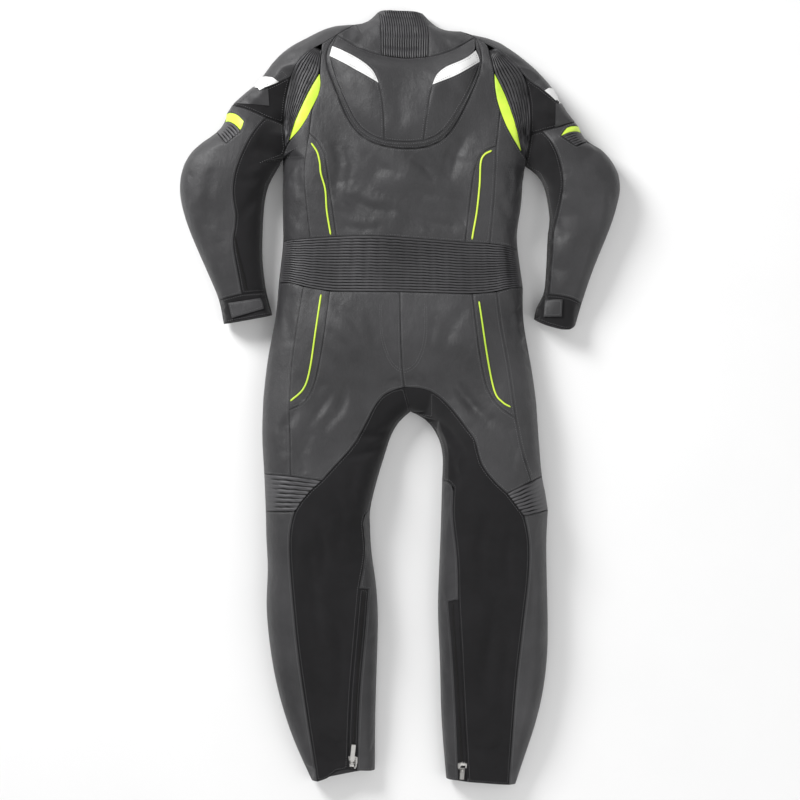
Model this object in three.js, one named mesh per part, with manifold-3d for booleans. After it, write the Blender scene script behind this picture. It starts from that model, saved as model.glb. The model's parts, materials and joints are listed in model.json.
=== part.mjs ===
// A one-piece motorcycle race suit, lying on its front with its back up.
// Millimetres, +X to the wearer's right, +Y to the collar, +Z up, the floor at z = 0.

import * as THREE from 'three';
import { mergeVertices } from 'three/addons/utils/BufferGeometryUtils.js';
import Module from 'manifold-3d';

const wasm = await Module();
wasm.setup();

// Driving sizes
const LEATHER = 2.2;
const STRETCH = 2.0;
const SEAM_GAP = 0.3;
const SIDE_GAP = 0.4;
const EQUATOR = 0.32;
const SEAM_STEP = 25;
const SIDE_STEP = 30;
const BACK_STEP = 36;
const FRONT_STEP = 70;
const FOLD_STEP = 15;
const BACK_RINGS = [3, 11, 26];
const FRONT_RINGS = [5, 18];
const FRONT_ROUND = 22;
const RIB_HEIGHT = 2.2;
const RIB_TIP = 14;
const RIB_TRIM = 0.6;
const STRAP = 2.2;
const STRAP_GAP = 1.5;
const CUFF_STEP = 12;
const CUFF_RINGS = [2, 5, 9, 14, 20, 27];
const STRAP_STEP = 16;
const SLIDER = {
  width: 8.6, length: 13, body: 2.6, sink: 0.6, post: 1.2, depth: 3, dip: 0.2, shift: 2, bar: 0.8,
};
const TAB = { width: 8, neck: 4, reach: 5, thick: 1.4, eye: 1.9, hole: 1.15 };
const HINGE_DROP = 2.25;
const HUMP_RISE = 24;
const HUMP_SHOULDER = 26;
const RING_MARGIN = 7;
const TREMBLE = 0.002;
const SIDE_ROUND = 6;
const SIDE_BLEND = 12;
const FOLD_FADE = 20;
const FOLD_ROOM = 9;
const POST_SPREAD = 30;
const RIB_FADE = 14;
const GRADED_REACH = 36;
const GRADED_END = 4;
const GRADED_ROOM = 6;
const PLAIN_ROWS = [0, 0.06, 0.25, 0.5, 0.75, 0.94, 1];
const FLIP_PASSES = 60;
const EDGE_KEY = 100000;
const SLIVER = 1e-7;

// Points where seams meet, [x, y] in plan
const J = {
  collar_l: [-42, 736], collar_r: [44, 732],
  neck_l: [-60, 716], neck_r: [68, 706],
  nape_l: [-35, 646], nape_r: [53, 643],
  yoke_l: [-84, 711], yoke_r: [115, 698],
  blade_l: [-119, 686], blade_r: [142, 684],
  zip_top_l: [-8, 735], zip_top_r: [14, 734],
  zip_end_l: [6, -4], zip_end_m: [17, -4], zip_end_r: [28, -4],
  horn_l: [-128, 663], horn_r: [143, 654],
  cheek_l: [-133, 643], cheek_r: [151, 632],
  flash_l: [-40, 587], flash_r: [60, 583],
  foot_l: [-30, 481], foot_r: [43, 480],
  pleat_l: [-147, 668], pleat_r: [166, 667],
  lens_top_l: [-151, 609], lens_top_r: [177, 609],
  lens_mid_l: [-165, 545], lens_mid_r: [188, 538],
  lens_end_l: [-209, 484], lens_end_r: [228, 464],
  pleat_end_l: [-216, 472], pleat_end_r: [240, 452],
  strip_l: [-170, 496], strip_r: [180, 472],
  pit_l: [-222, 455], pit_r: [238, 440],
  waist_l0: [-222, 297], waist_l1: [-169, 300], waist_l2: [-120, 303],
  waist_r2: [122, 292], waist_r1: [168, 290], waist_r0: [224, 280],
  hip_l0: [-231, 218], hip_l1: [-182, 209], hip_l2: [-132, 200],
  tail: [0, 199],
  hip_r2: [136, 195], hip_r1: [181, 199], hip_r0: [234, 210],
  strip_end_l: [-208, -22], strip_end_r: [216, -37],
  side_l: [-260, -4], side_r: [259, -10],
  fork: [8, 20], crotch: [20, -26],
  knee_l0: [-258, -143], knee_l1: [-205, -146], knee_l2: [-146, -154],
  knee_l3: [-255, -214], knee_l4: [-197, -212],
  knee_r0: [269, -148], knee_r1: [247, -156], knee_r2: [200, -178],
  knee_r3: [281, -212], knee_r4: [232, -220],
  calf_l: [-58, -213], calf_r: [80, -156],
  zip_l0: [-76, -357], zip_l1: [-59, -360], zip_l2: [-99, -703], zip_l3: [-81, -705],
  zip_r0: [109, -378], zip_r1: [90, -383], zip_r2: [110, -724], zip_r3: [129, -727],
  hem_l0: [-169, -727], hem_l1: [-157, -727], hem_l2: [-48, -708],
  hem_r0: [220, -736], hem_r1: [207, -733], hem_r2: [88, -724],
  cap_l: [-180, 684], cap_r: [190, 676],
  cuffline_l0: [-344, 186], cuffline_l1: [-299, 197], cuffline_l2: [-255, 201],
  cuffline_r0: [346, 180], cuffline_r1: [282, 196], cuffline_r2: [275, 195],
  mouth_l0: [-336, 141], mouth_l1: [-243, 158],
  mouth_r0: [334, 138], mouth_r1: [255, 150],
  arm_l0: [-278, 591], arm_l1: [-206, 606],
  arm_r0: [306, 561], arm_r1: [236, 603],
  fold_l0: [-320, 555], fold_l1: [-252, 528], fold_l2: [-221, 519],
  fold_r0: [333, 523], fold_r1: [268, 503], fold_r2: [247, 499],
  band_l: [-330, 539], band_r: [340, 515],
  elbow_l1: [-332, 524], elbow_l2: [-298, 500], elbow_l3: [-327, 478], elbow_l4: [-348, 504],
  elbow_r1: [344, 503], elbow_r2: [302, 492], elbow_r3: [331, 473], elbow_r4: [356, 486],
};

// Side lines of the laid garment: from, to, points passed between
const SIDES = {
  collar_side_l: ['collar_l', 'neck_l', [[-54, 725]]],
  neck_side_l: ['neck_l', 'yoke_l', [[-72, 712]]],
  shoulder_l: ['yoke_l', 'cap_l', [[-122, 710], [-150, 701]]],
  upper_arm_l: ['cap_l', 'arm_l0', [[-212, 666], [-240, 641], [-258, 615]]],
  arm_back_l: ['arm_l0', 'fold_l0', [[-299, 575]]],
  arm_fold_l: ['fold_l0', 'band_l', []],
  band_side_l: ['band_l', 'elbow_l1', []],
  elbow_side_l: ['elbow_l1', 'elbow_l4', []],
  forearm_l: ['elbow_l4', 'cuffline_l0', [[-369, 491], [-397, 468], [-413, 440], [-420, 400],
    [-415, 365], [-402, 322], [-380, 270], [-358, 220]]],
  cuff_out_l: ['cuffline_l0', 'mouth_l0', []],
  cuff_in_l: ['cuffline_l2', 'mouth_l1', []],
  inner_arm_l: ['pit_l', 'cuffline_l2', [[-236, 430], [-252, 402], [-258, 370], [-261, 325], [-262, 262]]],
  torso_l: ['pit_l', 'waist_l0', [[-222, 430], [-223, 370]]],
  lumbar_l: ['waist_l0', 'hip_l0', [[-226, 260]]],
  hip_side_l: ['hip_l0', 'side_l', [[-237, 148], [-247, 100], [-255, 48]]],
  thigh_l: ['side_l', 'knee_l0', [[-262, -70]]],
  knee_l: ['knee_l0', 'knee_l3', []],
  shin_l: ['knee_l3', 'hem_l0', [[-254, -270], [-251, -320], [-254, -395], [-247, -475], [-236, -540],
    [-219, -604], [-199, -660]]],
  inner_thigh_l: ['crotch', 'calf_l', [[0, -41], [-15, -64], [-28, -105], [-45, -160]]],
  calf_side_l: ['calf_l', 'hem_l2', [[-55, -289], [-46, -350], [-42, -410], [-44, -500], [-47, -600]]],
  collar_side_r: ['collar_r', 'neck_r', [[54, 718]]],
  neck_side_r: ['neck_r', 'yoke_r', [[84, 700]]],
  shoulder_r: ['yoke_r', 'cap_r', [[140, 691], [168, 686]]],
  upper_arm_r: ['cap_r', 'arm_r0', [[213, 661], [240, 640], [265, 618], [292, 586]]],
  arm_back_r: ['arm_r0', 'fold_r0', [[318, 541]]],
  arm_fold_r: ['fold_r0', 'band_r', []],
  band_side_r: ['band_r', 'elbow_r1', []],
  elbow_side_r: ['elbow_r1', 'elbow_r4', []],
  forearm_r: ['elbow_r4', 'cuffline_r0', [[381, 475], [402, 452], [417, 424], [420, 398], [414, 370],
    [403, 332], [387, 292], [368, 246]]],
  cuff_out_r: ['cuffline_r0', 'mouth_r0', [[342, 160]]],
  cuff_in_r: ['cuffline_r2', 'mouth_r1', [[263, 183], [257, 166]]],
  inner_arm_r: ['pit_r', 'cuffline_r2', [[256, 428], [271, 417], [277, 396], [282, 362], [286, 342],
    [281, 310], [279, 260]]],
  torso_r: ['pit_r', 'waist_r0', [[233, 424], [232, 380], [226, 338], [221, 314]]],
  lumbar_r: ['waist_r0', 'hip_r0', [[228, 250]]],
  hip_side_r: ['hip_r0', 'side_r', [[234, 150], [243, 95], [252, 45]]],
  thigh_r: ['side_r', 'knee_r0', [[263, -70]]],
  knee_r: ['knee_r0', 'knee_r3', [[276, -180]]],
  shin_r: ['knee_r3', 'hem_r0', [[278, -270], [279, -340], [281, -430], [280, -492], [272, -560],
    [258, -620], [240, -675]]],
  inner_thigh_r: ['crotch', 'calf_r', [[44, -35], [65, -58], [79, -88], [82, -120]]],
  calf_side_r: ['calf_r', 'hem_r2', [[78, -230], [75, -310], [72, -400], [76, -500], [79, -610]]],
};

// Open mouths: neck, cuffs and hems
const MOUTHS = {
  neck_back: ['collar_l', 'collar_r', [[0, 735]]],
  neck_front_l: ['collar_l', 'zip_top_l', []],
  neck_front_m: ['zip_top_l', 'zip_top_r', []],
  neck_front_r: ['zip_top_r', 'collar_r', []],
  cuff_mouth_l: ['mouth_l0', 'mouth_l1', []],
  cuff_mouth_r: ['mouth_r0', 'mouth_r1', [[322, 130], [282, 138]]],
  hem_shin_l: ['hem_l0', 'hem_l1', []],
  hem_calf_l: ['hem_l1', 'zip_l2', [[-141, -723], [-120, -706]]],
  hem_zip_l: ['zip_l2', 'zip_l3', []],
  hem_inner_l: ['zip_l3', 'hem_l2', []],
  hem_front_l: ['hem_l0', 'hem_l2', [[-150, -727], [-98, -717]]],
  hem_shin_r: ['hem_r1', 'hem_r0', []],
  hem_calf_r: ['zip_r3', 'hem_r1', []],
  hem_zip_r: ['zip_r2', 'zip_r3', []],
  hem_inner_r: ['hem_r2', 'zip_r2', []],
  hem_front_r: ['hem_r2', 'hem_r0', []],
};

// Sewn seams: from, to, points passed between
const SEAMS = {
  collar_seam_l: ['collar_l', 'nape_l', [[-37, 712]]],
  collar_seam_r: ['collar_r', 'nape_r', [[53, 700]]],
  nape_m: ['nape_l', 'nape_r', [[10, 640]]],
  nape_side_l: ['blade_l', 'nape_l', [[-100, 673], [-70, 657]]],
  nape_side_r: ['nape_r', 'blade_r', [[82, 649], [114, 664]]],
  yoke_seam_l: ['yoke_l', 'blade_l', []],
  yoke_seam_r: ['yoke_r', 'blade_r', []],
  rim_out: ['blade_l', 'blade_r', [[-139, 655], [-138, 625], [-125, 588], [-111, 550], [-98, 520],
    [-82, 497], [-58, 479], [-25, 469], [12, 465], [52, 469], [82, 483], [102, 508], [122, 545],
    [141, 588], [154, 628], [152, 660]]],
  horn_seam_l: ['blade_l', 'horn_l', []],
  horn_seam_r: ['blade_r', 'horn_r', []],
  cheek_seam_l: ['horn_l', 'cheek_l', []],
  cheek_seam_r: ['horn_r', 'cheek_r', []],
  rim_in_l: ['cheek_l', 'foot_l', [[-122, 603], [-101, 552], [-81, 513], [-60, 493]]],
  rim_in_m: ['foot_l', 'foot_r', [[8, 477]]],
  rim_in_r: ['foot_r', 'cheek_r', [[64, 486], [81, 499], [100, 524], [121, 560], [139, 597]]],
  flash_top_l: ['horn_l', 'flash_l', [[-100, 648], [-70, 630], [-50, 612]]],
  flash_top_r: ['flash_r', 'horn_r', [[72, 611], [100, 625], [126, 637]]],
  flash_low_l: ['cheek_l', 'flash_l', []],
  flash_low_r: ['flash_r', 'cheek_r', [[110, 604]]],
  spine_l: ['flash_l', 'foot_l', [[-32, 545]]],
  spine_r: ['flash_r', 'foot_r', [[51, 540]]],
  pleat_top_l: ['blade_l', 'pleat_l', []],
  pleat_top_r: ['blade_r', 'pleat_r', []],
  pleat_in_l: ['pleat_l', 'lens_top_l', []],
  pleat_in_r: ['pleat_r', 'lens_top_r', []],
  lens_in_l1: ['lens_top_l', 'lens_mid_l', [[-149, 578]]],
  lens_in_l2: ['lens_mid_l', 'lens_end_l', [[-184, 508]]],
  lens_in_r1: ['lens_top_r', 'lens_mid_r', [[179, 572]]],
  lens_in_r2: ['lens_mid_r', 'lens_end_r', [[204, 499]]],
  lens_out_l: ['lens_top_l', 'lens_end_l', [[-167, 583], [-185, 546], [-201, 510]]],
  lens_out_r: ['lens_top_r', 'lens_end_r', [[194, 575], [208, 538], [220, 500]]],
  pleat_out_l1: ['pleat_l', 'arm_l1', [[-169, 655], [-191, 634]]],
  pleat_out_l2: ['arm_l1', 'fold_l2', [[-215, 568]]],
  pleat_out_l3: ['fold_l2', 'pleat_end_l', []],
  pleat_out_r1: ['pleat_r', 'arm_r1', [[184, 655], [203, 639], [221, 622]]],
  pleat_out_r2: ['arm_r1', 'fold_r2', [[245, 560]]],
  pleat_out_r3: ['fold_r2', 'pleat_end_r', []],
  pleat_end_seam_l: ['pleat_end_l', 'lens_end_l', []],
  pleat_end_seam_r: ['pleat_end_r', 'lens_end_r', []],
  armhole_low_l: ['pleat_end_l', 'pit_l', []],
  armhole_low_r: ['pleat_end_r', 'pit_r', []],
  strip_top_l: ['lens_mid_l', 'strip_l', []],
  strip_top_r: ['lens_mid_r', 'strip_r', []],
  strip_out_l: ['strip_l', 'waist_l1', [[-180, 430], [-176, 360]]],
  strip_out_r: ['strip_r', 'waist_r1', [[178, 427], [175, 370]]],
  strip_in_l: ['strip_l', 'waist_l2', [[-154, 481], [-143, 463], [-137, 425], [-128, 360]]],
  strip_in_r: ['strip_r', 'waist_r2', [[157, 464], [144, 448], [137, 420], [129, 355]]],
  waist_seam_l0: ['waist_l0', 'waist_l1', []],
  waist_seam_l1: ['waist_l1', 'waist_l2', []],
  waist_seam_m: ['waist_l2', 'waist_r2', [[-50, 304], [30, 299]]],
  waist_seam_r1: ['waist_r2', 'waist_r1', []],
  waist_seam_r0: ['waist_r1', 'waist_r0', [[198, 287]]],
  hip_seam_l0: ['hip_l0', 'hip_l1', [[-205, 217]]],
  hip_seam_l1: ['hip_l1', 'hip_l2', []],
  hip_seam_l2: ['hip_l2', 'tail', []],
  hip_seam_r2: ['tail', 'hip_r2', []],
  hip_seam_r1: ['hip_r2', 'hip_r1', []],
  hip_seam_r0: ['hip_r1', 'hip_r0', [[207, 207]]],
  strip_low_l: ['hip_l2', 'strip_end_l', [[-141, 130], [-151, 70], [-161, 25], [-177, -7]]],
  strip_low_r: ['hip_r2', 'strip_end_r', [[143, 125], [152, 65], [165, 12], [188, -19]]],
  side_seam_l1: ['hip_l1', 'strip_end_l', [[-194, 135], [-204, 60]]],
  side_seam_r1: ['hip_r1', 'strip_end_r', [[189, 135], [202, 65]]],
  side_seam_l2: ['strip_end_l', 'knee_l1', [[-206, -85]]],
  side_seam_r2: ['strip_end_r', 'knee_r1', [[229, -100]]],
  tail_seam: ['tail', 'fork', [[1, 120], [4, 50]]],
  crotch_seam: ['fork', 'crotch', []],
  thigh_seam_l: ['fork', 'knee_l2', [[-20, 13], [-42, -5], [-62, -44], [-86, -87], [-118, -123]]],
  thigh_seam_r: ['fork', 'knee_r2', [[40, 19], [66, 9], [92, -15], [124, -56], [144, -83], [146, -110],
    [168, -147]]],
  knee_top_l0: ['knee_l0', 'knee_l1', []],
  knee_top_l1: ['knee_l1', 'knee_l2', []],
  knee_top_r1: ['knee_r2', 'knee_r1', []],
  knee_top_r0: ['knee_r1', 'knee_r0', []],
  knee_low_l: ['knee_l3', 'knee_l4', []],
  knee_low_r: ['knee_r4', 'knee_r3', []],
  knee_in_l: ['knee_l2', 'knee_l4', [[-176, -182]]],
  knee_in_r: ['knee_r2', 'knee_r4', []],
  shin_seam_l: ['knee_l4', 'hem_l1', [[-206, -250], [-206, -310], [-199, -400], [-189, -500],
    [-175, -600]]],
  shin_seam_r: ['knee_r4', 'hem_r1', [[241, -260], [242, -320], [230, -430], [219, -540], [212, -640]]],
  calf_seam_l: ['calf_l', 'zip_l0', [[-68, -224], [-65, -290]]],
  calf_seam_r: ['calf_r', 'zip_r0', [[98, -161], [98, -215], [107, -300]]],
  zip_top_seam_l: ['zip_l0', 'zip_l1', []],
  zip_top_seam_r: ['zip_r0', 'zip_r1', []],
  zip_out_l: ['zip_l0', 'zip_l2', [[-84, -450], [-93, -560]]],
  zip_in_l: ['zip_l1', 'zip_l3', [[-65, -440], [-75, -550]]],
  zip_out_r: ['zip_r0', 'zip_r3', [[115, -480], [121, -600]]],
  zip_in_r: ['zip_r1', 'zip_r2', [[98, -480], [105, -600]]],
  arm_seam_l: ['arm_l0', 'arm_l1', [[-263, 579], [-228, 593]]],
  arm_seam_r: ['arm_r0', 'arm_r1', [[298, 557], [272, 578]]],
  fold_seam_l1: ['fold_l0', 'fold_l1', [[-285, 543]]],
  fold_seam_l2: ['fold_l1', 'fold_l2', []],
  fold_seam_r1: ['fold_r0', 'fold_r1', [[300, 511]]],
  fold_seam_r2: ['fold_r1', 'fold_r2', []],
  band_top_l: ['band_l', 'elbow_l2', [[-312, 537], [-299, 527], [-290, 510]]],
  band_top_r: ['band_r', 'elbow_r2', [[322, 513], [304, 506], [294, 499]]],
  band_low_l: ['elbow_l1', 'elbow_l2', [[-314, 518]]],
  band_low_r: ['elbow_r1', 'elbow_r2', [[322, 502]]],
  elbow_end_l: ['elbow_l2', 'elbow_l3', []],
  elbow_end_r: ['elbow_r2', 'elbow_r3', []],
  elbow_low_l: ['elbow_l4', 'elbow_l3', []],
  elbow_low_r: ['elbow_r4', 'elbow_r3', []],
  forearm_seam_l: ['fold_l1', 'cuffline_l1', [[-276, 497], [-297, 458], [-311, 415], [-314, 378],
    [-307, 335], [-315, 300], [-307, 245]]],
  forearm_seam_r: ['fold_r1', 'cuffline_r1', [[288, 476], [301, 440], [307, 405], [300, 358], [291, 318],
    [286, 260]]],
  cuff_seam_l0: ['cuffline_l0', 'cuffline_l1', []],
  cuff_seam_l1: ['cuffline_l1', 'cuffline_l2', []],
  cuff_seam_r0: ['cuffline_r1', 'cuffline_r0', [[318, 191]]],
  cuff_seam_r1: ['cuffline_r2', 'cuffline_r1', []],
  front_armhole_l: ['cap_l', 'pit_l', [[-206, 600], [-218, 520]]],
  front_armhole_r: ['cap_r', 'pit_r', [[222, 590], [237, 510]]],
  front_hip_l: ['side_l', 'zip_end_l', []],
  front_hip_r: ['zip_end_r', 'side_r', []],
  front_zip_l: ['zip_top_l', 'zip_end_l', []],
  front_zip_r: ['zip_top_r', 'zip_end_r', []],
  front_zip_end_l: ['zip_end_l', 'zip_end_m', []],
  front_zip_end_r: ['zip_end_m', 'zip_end_r', []],
  front_crotch: ['zip_end_m', 'crotch', []],
};

// Heights of the laid garment, millimetres above the floor
const POSTS = [
  { x: 0, y: 735, h: 34 }, { x: 0, y: 690, h: 56 },
  { x: -120, y: 685, h: 58 }, { x: 130, y: 680, h: 58 },
  { x: -205, y: 635, h: 80 }, { x: 215, y: 630, h: 80 },
  { x: -262, y: 575, h: 84 }, { x: 275, y: 560, h: 84 },
  { x: -370, y: 430, h: 82 }, { x: 370, y: 420, h: 82 },
  { x: -345, y: 300, h: 68 }, { x: 345, y: 300, h: 68 },
  { x: -292, y: 170, h: 46 }, { x: 300, y: 160, h: 46 },
  { x: -60, y: 560, h: 88 }, { x: 80, y: 560, h: 88 },
  { x: -110, y: 430, h: 92 }, { x: 110, y: 430, h: 92 },
  { x: 0, y: 400, h: 98 }, { x: 0, y: 330, h: 88 },
  { x: -150, y: 255, h: 74 }, { x: 0, y: 250, h: 78 }, { x: 150, y: 250, h: 74 },
  { x: -100, y: 120, h: 98 }, { x: 110, y: 120, h: 98 }, { x: 5, y: 90, h: 88 },
  { x: -210, y: 100, h: 82 }, { x: 215, y: 100, h: 82 },
  { x: -190, y: -60, h: 94 }, { x: 200, y: -60, h: 94 }, { x: 15, y: 0, h: 56 },
  { x: -160, y: -200, h: 96 }, { x: 185, y: -200, h: 96 },
  { x: -150, y: -380, h: 84 }, { x: 180, y: -380, h: 84 },
  { x: -130, y: -560, h: 64 }, { x: 160, y: -560, h: 64 },
  { x: -110, y: -710, h: 44 }, { x: 155, y: -725, h: 44 },
];

// Folds pressed into the back: depth and width of each, and the line it follows
const FOLDS = [
  { depth: 10, width: 15, line: [[-132, 403], [-82, 398], [-38, 377], [13, 360], [78, 350], [116, 338]] },
  { depth: 5, width: 13, line: [[-112, 492], [-108, 455], [-118, 420]] },
  { depth: 6, width: 14, line: [[128, 500], [108, 452], [78, 420]] },
  { depth: 5, width: 12, line: [[112, 440], [110, 372]] },
  { depth: 22, width: 17, line: [[-209, 600], [-221, 545], [-222, 460]] },
  { depth: 22, width: 17, line: [[240, 592], [247, 540], [244, 480], [239, 446]] },
  { depth: 15, width: 13, line: [[-318, 553], [-275, 538], [-221, 519]] },
  { depth: 15, width: 13, line: [[332, 521], [292, 508], [247, 499]] },
  { depth: 12, width: 10, line: [[60, -34], [96, -58], [114, -86], [118, -118], [114, -146]] },
  { depth: 6, width: 8, line: [[-92, -85], [-60, -93], [-30, -102]] },
  { depth: 6, width: 14, line: [[-154, 20], [-150, -40], [-128, -86], [-104, -112]] },
  { depth: 5, width: 11, line: [[-96, 38], [-90, 8], [-72, -6]] },
  { depth: 6, width: 15, line: [[92, 122], [118, 60], [152, 4], [176, -42]] },
  { depth: 5, width: 10, line: [[-60, 62], [-34, 38], [-12, 30]] },
  { depth: 5, width: 10, line: [[62, 66], [46, 44], [22, 32]] },
  { depth: 5, width: 13, line: [[-222, 120], [-226, 60], [-234, 4], [-226, -60]] },
  { depth: 5, width: 13, line: [[218, 165], [226, 110], [230, 70]] },
  { depth: 5, width: 12, line: [[-198, 400], [-206, 370], [-214, 352]] },
  { depth: 5, width: 12, line: [[198, 340], [206, 318], [214, 306]] },
  { depth: 6, width: 16, line: [[-125, -330], [-108, -400], [-104, -470]] },
  { depth: 5, width: 14, line: [[-178, -360], [-168, -460], [-150, -620]] },
  { depth: 6, width: 16, line: [[190, -400], [172, -490], [152, -540]] },
  { depth: -4, width: 9, line: [[-132, 652], [-130, 620], [-108, 560], [-82, 506], [-50, 482], [10, 471],
    [66, 480], [92, 504], [120, 550], [146, 600], [148, 645]] },
];

const HUMP = ['rim_out', '-nape_side_r', '-nape_m', '-nape_side_l'];

// Curves and distances in plan
const LINES = {};
const TYPES = [['side', SIDES], ['mouth', MOUTHS], ['seam', SEAMS]];

function distanceTo([x, y], line) {
  let best = { d: Infinity, gx: 0, gy: 0 };
  for (let i = 0; i + 1 < line.length; i += 1) {
    const [ax, ay] = line[i];
    const dx = line[i + 1][0] - ax;
    const dy = line[i + 1][1] - ay;
    const span = dx * dx + dy * dy;
    const s = THREE.MathUtils.clamp(((x - ax) * dx + (y - ay) * dy) / span, 0, 1);
    const ox = x - ax - s * dx;
    const oy = y - ay - s * dy;
    const d = Math.hypot(ox, oy);
    if (d < best.d) best = { d, gx: ox, gy: oy };
  }
  return best;
}

function sampled(points, step, graded) {
  const curve = new THREE.CatmullRomCurve3(points.map(([x, y]) => new THREE.Vector3(x, y, 0)),
    false, 'centripetal');
  const length = curve.getLength();
  const count = Math.max(1, Math.round(length / step));
  let places = Array.from({ length: count + 1 }, (_, i) => i / count * length);
  const rings = BACK_RINGS.filter((r) => r < length - GRADED_END);
  if (graded[0]) places = [0, ...rings, ...places.filter((s) => s > GRADED_REACH)];
  if (graded[1]) {
    const near = rings.map((r) => length - r).reverse();
    const free = places.filter((s) => s < length - GRADED_REACH && s < near[0] - GRADED_ROOM);
    places = [...free, ...near, length];
  }
  if (places[places.length - 1] < length - 1e-6) places.push(length);
  return places.map((s) => curve.getPointAt(s / length)).map((p) => [p.x, p.y]);
}

const sideLines = [];
for (const [kind, table] of TYPES) {
  for (const [name, [from, to, via]] of Object.entries(table)) {
    const ends = [J[from], J[to]];
    const onSide = ends.map((p) => kind !== 'side' && sideLines.some((line) => distanceTo(p, line).d < 0.5));
    const points = sampled([ends[0], ...via, ends[1]], kind === 'side' ? SIDE_STEP : SEAM_STEP, onSide);
    points[0] = ends[0];
    points[points.length - 1] = ends[1];
    LINES[name] = { kind, points };
    if (kind === 'side') sideLines.push(points);
  }
}

function chain(names) {
  const points = [];
  const kinds = [];
  for (const name of names) {
    const { kind, points: own } = LINES[name.replace('-', '')];
    const run = name.startsWith('-') ? [...own].reverse() : own;
    for (const p of run.slice(0, -1)) {
      points.push(p);
      kinds.push(kind);
    }
  }
  return { points, kinds };
}

function inside([x, y], loop) {
  let odd = false;
  for (let i = 0, j = loop.length - 1; i < loop.length; j = i, i += 1) {
    const [ax, ay] = loop[i];
    const [bx, by] = loop[j];
    if ((ay > y) !== (by > y) && x < (bx - ax) * (y - ay) / (by - ay) + ax) odd = !odd;
  }
  return odd;
}

const humpLoop = chain(HUMP).points;
const foldLines = FOLDS.map((fold) => sampled(fold.line, FOLD_STEP, [false, false]));

// The form: side distance, crown height, folds and hump, for any point in plan
function sideOf(p) {
  let best = { d: Infinity };
  for (const line of sideLines) {
    const hit = distanceTo(p, line);
    if (hit.d < best.d) best = hit;
  }
  return best;
}

function postHeight([x, y]) {
  let weight = 0;
  let total = 0;
  for (const post of POSTS) {
    const w = 1 / ((x - post.x) ** 2 + (y - post.y) ** 2 + POST_SPREAD ** 2) ** 1.5;
    weight += w;
    total += w * post.h;
  }
  return total / weight;
}

function relief(p, d) {
  let z = 0;
  FOLDS.forEach((fold, i) => {
    const hit = distanceTo(p, foldLines[i]);
    z -= fold.depth * Math.exp(-((hit.d / fold.width) ** 2));
  });
  z *= THREE.MathUtils.smoothstep(d, 0, FOLD_FADE);
  if (inside(p, humpLoop)) {
    const depth = distanceTo(p, [...humpLoop, humpLoop[0]]).d;
    z += HUMP_RISE * THREE.MathUtils.smoothstep(depth, 0, HUMP_SHOULDER);
  }
  return z;
}

function backPoint(p) {
  const { d, gx, gy } = sideOf(p);
  const h = postHeight(p);
  const round = h / 2 + SIDE_ROUND;
  const t = Math.min(1, d / round);
  const swell = Math.sqrt(1 - (1 - t) ** 2);
  const crown = (q) => {
    const hq = postHeight(q);
    return EQUATOR * hq + (1 - EQUATOR) * hq * swell + relief(q, d);
  };
  const side = THREE.MathUtils.smoothstep(d, 0, SIDE_BLEND);
  const z = crown(p) + SIDE_GAP / 2 * (1 - side);
  const sx = (crown([p[0] + 1, p[1]]) - crown([p[0] - 1, p[1]])) / 2;
  const sy = (crown([p[0], p[1] + 1]) - crown([p[0], p[1] - 1])) / 2;
  const steep = (1 - EQUATOR) * h * (1 - t) / round;
  const g = inward(p, d, gx, gy);
  const normal = new THREE.Vector3(-sx * swell - steep * g[0], -sy * swell - steep * g[1], swell);
  return { z, normal: normal.normalize() };
}

function frontPoint(p) {
  const { d, gx, gy } = sideOf(p);
  const e = EQUATOR * postHeight(p) - SIDE_GAP / 2;
  const t = Math.min(1, d / FRONT_ROUND);
  const swell = Math.sqrt(1 - (1 - t) ** 2);
  const steep = e * (1 - t) / FRONT_ROUND;
  const g = inward(p, d, gx, gy);
  const normal = new THREE.Vector3(-steep * g[0], -steep * g[1], -swell);
  return { z: t >= 1 ? 0 : e * (1 - swell), normal: normal.normalize() };
}

const outline = chain(['-collar_side_l', 'neck_back', 'collar_side_r', 'neck_side_r', 'shoulder_r',
  'upper_arm_r', 'arm_back_r', 'arm_fold_r', 'band_side_r', 'elbow_side_r', 'forearm_r', 'cuff_out_r',
  'cuff_mouth_r', '-cuff_in_r', '-inner_arm_r', 'torso_r', 'lumbar_r', 'hip_side_r', 'thigh_r', 'knee_r',
  'shin_r', '-hem_front_r', '-calf_side_r', '-inner_thigh_r', 'inner_thigh_l', 'calf_side_l',
  '-hem_front_l', '-shin_l', '-knee_l', '-thigh_l', '-hip_side_l', '-lumbar_l', '-torso_l', 'inner_arm_l',
  'cuff_in_l', '-cuff_mouth_l', '-cuff_out_l', '-forearm_l', '-elbow_side_l', '-band_side_l', '-arm_fold_l',
  '-arm_back_l', '-upper_arm_l', '-shoulder_l', '-neck_side_l']).points;

// The way into the garment from a point beside a side line
function inward(p, d, gx, gy) {
  if (d > 0.3) return [gx / d, gy / d];
  const probe = 1.5;
  let sum = [0, 0];
  for (let k = 0; k < 16; k += 1) {
    const dir = [Math.cos(k * Math.PI / 8), Math.sin(k * Math.PI / 8)];
    const hit = inside([p[0] + probe * dir[0], p[1] + probe * dir[1]], outline) ? 1 : -1;
    sum = [sum[0] + hit * dir[0], sum[1] + hit * dir[1]];
  }
  const size = Math.hypot(sum[0], sum[1]) || 1;
  return [sum[0] / size, sum[1] / size];
}

// Triangles over a plan outline, with points inside it
function area2(a, b, c) {
  return (b[0] - a[0]) * (c[1] - a[1]) - (b[1] - a[1]) * (c[0] - a[0]);
}

function inCircle(a, b, c, p) {
  const [ax, ay] = [a[0] - p[0], a[1] - p[1]];
  const [bx, by] = [b[0] - p[0], b[1] - p[1]];
  const [cx, cy] = [c[0] - p[0], c[1] - p[1]];
  const det = (ax * ax + ay * ay) * (bx * cy - cx * by) - (bx * bx + by * by) * (ax * cy - cx * ay)
    + (cx * cx + cy * cy) * (ax * by - bx * ay);
  return det > 1e-6;
}

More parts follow.
